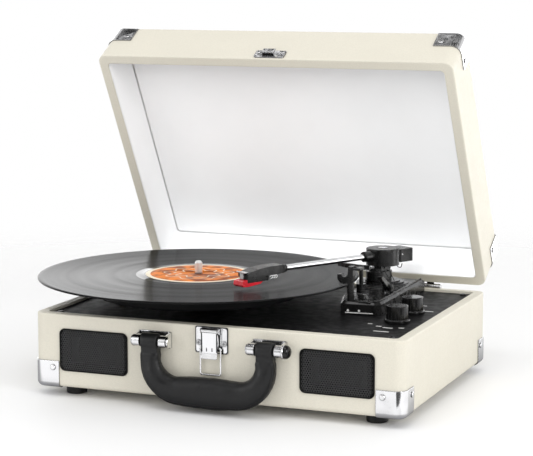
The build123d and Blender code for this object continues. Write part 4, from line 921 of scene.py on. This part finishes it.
# ---------------------------------------------------------------------------------------
# The record: shown on the mat, but another object, so it is part of the stage
# ---------------------------------------------------------------------------------------
def record():
    """A record on the mat. It is hidden as soon as the lid starts to close over it."""
    low = MAT[1].z + 0.02
    centre = at(SPINDLE_X, SPINDLE_Y, low)
    thick = RECORD_THICK
    profile = [(4, 0), (RECORD_R - 1.2, 0), (RECORD_R - 0.3, 0.4), (RECORD_R, 0.9), (RECORD_R - 0.3, 1.5)]
    profile += [(RECORD_R - 1.4, thick), (RECORD_R - 4.5, thick - 0.15), (RECORD_R - 6, thick - 0.3)]
    profile += [(LABEL_R + 9, thick - 0.3), (LABEL_R + 2, thick - 0.35), (LABEL_R + 1, thick - 0.1)]
    profile += [(LABEL_R, thick - 0.1), (4, thick - 0.1)]
    rings = lathe(profile, Vector((0, 0, 0)), 160)
    points, faces = loft(rings, closed=True)
    disc = new_piece("record", points, faces, VINYL)
    under, face = thick - 0.1, thick + 0.02
    paper = [(RECORD_HOLE_R, under), (LABEL_R, under), (LABEL_R - 0.2, face), (RECORD_HOLE_R, face)]
    label_rings = lathe(paper, Vector((0, 0, 0)), 96)
    points, faces = loft(label_rings, closed=True)
    label = new_piece("record_label", points, faces, LABEL)
    for o in (disc, label):
        o.location = centre
        o.parent = frame["bodies"]["platter"]
        hide = o.driver_add("hide_render").driver
        hide.type = "SCRIPTED"
        angle = hide.variables.new()
        angle.name = "lid"
        angle.type = "TRANSFORMS"
        angle.targets[0].id = frame["bodies"]["lid"]
        angle.targets[0].transform_type = "ROT_X"
        angle.targets[0].transform_space = "WORLD_SPACE"
        hide.expression = "lid > 0.02"


# ---------------------------------------------------------------------------------------
# Stage: floor, light and camera
# ---------------------------------------------------------------------------------------
def floor():
    """A pale floor that fades out into the white background."""
    g = Graph("floor")
    x, y, radius = g.flat_place()
    mirrored = g.add("ShaderNodeLightPath").outputs["Is Glossy Ray"]
    # Reflections see it with a painted shadow, darker close to the case, and a painted dark flag off the
    # front right corner.
    ahead = g.math("SUBTRACT", g.math("MULTIPLY", y, -1.0), -CASE_LOW.y)
    aside = g.math("SUBTRACT", x, CASE_HIGH.x)
    near = g.remap(g.math("MAXIMUM", ahead, aside), 0.0, 0.07)
    reflected_painted_shadow = g.mix(near, rgb(0.32, 0.32, 0.33), rgb(0.92, 0.92, 0.93))
    flag = g.math("MULTIPLY", g.remap(aside, 0.004, 0.012), g.remap(ahead, 0.07, 0.08))
    reflected_painted_shadow = g.mix(flag, reflected_painted_shadow, rgb(0.03, 0.03, 0.03))
    pale = g.mix(mirrored, rgb(0.93, 0.93, 0.93), reflected_painted_shadow)
    g.done(Base_Color=pale, Roughness=0.6, Specular_IOR_Level=0.2)
    clear = g.add("ShaderNodeBsdfTransparent").outputs[0]
    fade = g.remap(radius, 0.45, 1.1)
    both = g.add("ShaderNodeMixShader", {0: fade, 1: g.shader.outputs[0], 2: clear})
    output = g.tree.nodes["Material Output"]
    g.tree.links.new(both.outputs[0], output.inputs["Surface"])
    half = 3.0
    points = [Vector((sx * half, sy * half, 0)) for sx, sy in ((-1, -1), (1, -1), (1, 1), (-1, 1))]
    new_piece("floor", points, [(0, 1, 2, 3)], g.material, smooth=False)


def world():
    """White behind the object. Reflections see a bright back, a flagged front and a dark ceiling."""
    sky = bpy.data.worlds.new("studio")
    bpy.context.scene.world = sky
    sky.use_nodes = True
    tree = sky.node_tree
    background = tree.nodes["Background"]

    def node(kind, inputs=None, **settings):
        new = tree.nodes.new(kind)
        for key, value in settings.items():
            setattr(new, key, value)
        for key, value in (inputs or {}).items():
            if isinstance(value, bpy.types.NodeSocket):
                tree.links.new(value, new.inputs[key])
            else:
                new.inputs[key].default_value = value
        return new

    def remap(value, low, high, to_low, to_high):
        inputs = {"Value": value, "From Min": low, "From Max": high, "To Min": to_low, "To Max": to_high}
        return node("ShaderNodeMapRange", inputs, interpolation_type="SMOOTHSTEP").outputs["Result"]

    def mix(share, first, second):
        return node("ShaderNodeMix", {0: share, 2: first, 3: second}).outputs[0]

    direction = node("ShaderNodeTexCoord").outputs["Generated"]
    x, y, z = node("ShaderNodeSeparateXYZ", {0: direction}).outputs
    # In front, from the left: pale, a dark flag, a bright panel, then grey. Above them it is bright.
    flag = mix(remap(x, -0.42, -0.30, 0.0, 1.0), 0.75, 0.02)
    flag = mix(remap(x, 0.05, 0.14, 0.0, 1.0), flag, 0.95)
    flag = mix(remap(x, 0.62, 0.74, 0.0, 1.0), flag, 0.30)
    front = mix(remap(z, 0.34, 0.44, 0.0, 1.0), flag, 0.85)
    back = mix(remap(z, 0.10, 0.55, 0.0, 1.0), BACK_GLOW, 0.7)
    glossy = mix(remap(y, -0.1, 0.3, 0.0, 1.0), front, back)
    # Overhead: black, broken by small bright panels.
    panels = node("ShaderNodeTexNoise", {"Vector": direction, "Scale": 26.0, "Detail": 1.0}).outputs["Fac"]
    overhead = remap(panels, 0.56, 0.59, 0.02, 1.0)
    glossy = mix(remap(z, 0.66, 0.74, 0.0, 1.0), glossy, overhead)
    rays = node("ShaderNodeLightPath").outputs
    level = mix(rays["Is Glossy Ray"], DIFFUSE_SKY, glossy)
    level = mix(rays["Is Camera Ray"], level, 1.0)
    tree.links.new(level, background.inputs["Color"])


def softbox(name, place, aim, width, height, watts, only=None):
    """A rectangular light. With only, it lights just that CAD node, as a flagged studio lamp would."""
    data = bpy.data.lights.new(name, "AREA")
    data.shape = "RECTANGLE"
    data.size, data.size_y = width, height
    data.energy = watts
    lamp = bpy.data.objects.new(name, data)
    bpy.context.scene.collection.objects.link(lamp)
    lamp.location = place
    lamp.rotation_mode = "QUATERNION"
    lamp.rotation_quaternion = (aim - place).to_track_quat("-Z", "Y")
    if only:
        lit = bpy.data.collections.new(name + "_lit")
        lit.objects.link(NODES[only])
        lamp.light_linking.receiver_collection = lit


def camera():
    """The photograph's view of the object."""
    data = bpy.data.cameras.new("camera")
    data.lens = LENS
    data.sensor_width = SENSOR
    data.clip_start = 0.05
    eye = bpy.data.objects.new("camera", data)
    bpy.context.scene.collection.objects.link(eye)
    eye.location = EYE
    eye.rotation_mode = "QUATERNION"
    eye.rotation_quaternion = (AIM - eye.location).to_track_quat("-Z", "Y")
    bpy.context.scene.camera = eye


handle()
grille("left")
grille("right")
latch_trim()
deck_marks()
signal_wires()
finger_lift()
headshell()
cartridge()
pivot_details()
platform_details()
record()
floor()
world()
MIDDLE = at(0, 0, 100)
# Lights: place, aim, width and height in metres, and watts.
softbox("lid_wash", Vector((-0.1, -1.2, 0.9)), at(0, 150, 200), 1.2, 1.0, 14, "lid_lining")
softbox("ceiling", Vector((0.0, -0.5, 1.6)), MIDDLE, 1.0, 0.7, 5)
softbox("right_key", Vector((1.7, -0.9, 0.7)), MIDDLE, 0.7, 1.0, 12)
softbox("left_fill", Vector((-1.2, -1.6, 0.6)), MIDDLE, 0.6, 1.1, 4)
camera()
bpy.context.scene.view_settings.view_transform = "Standard"
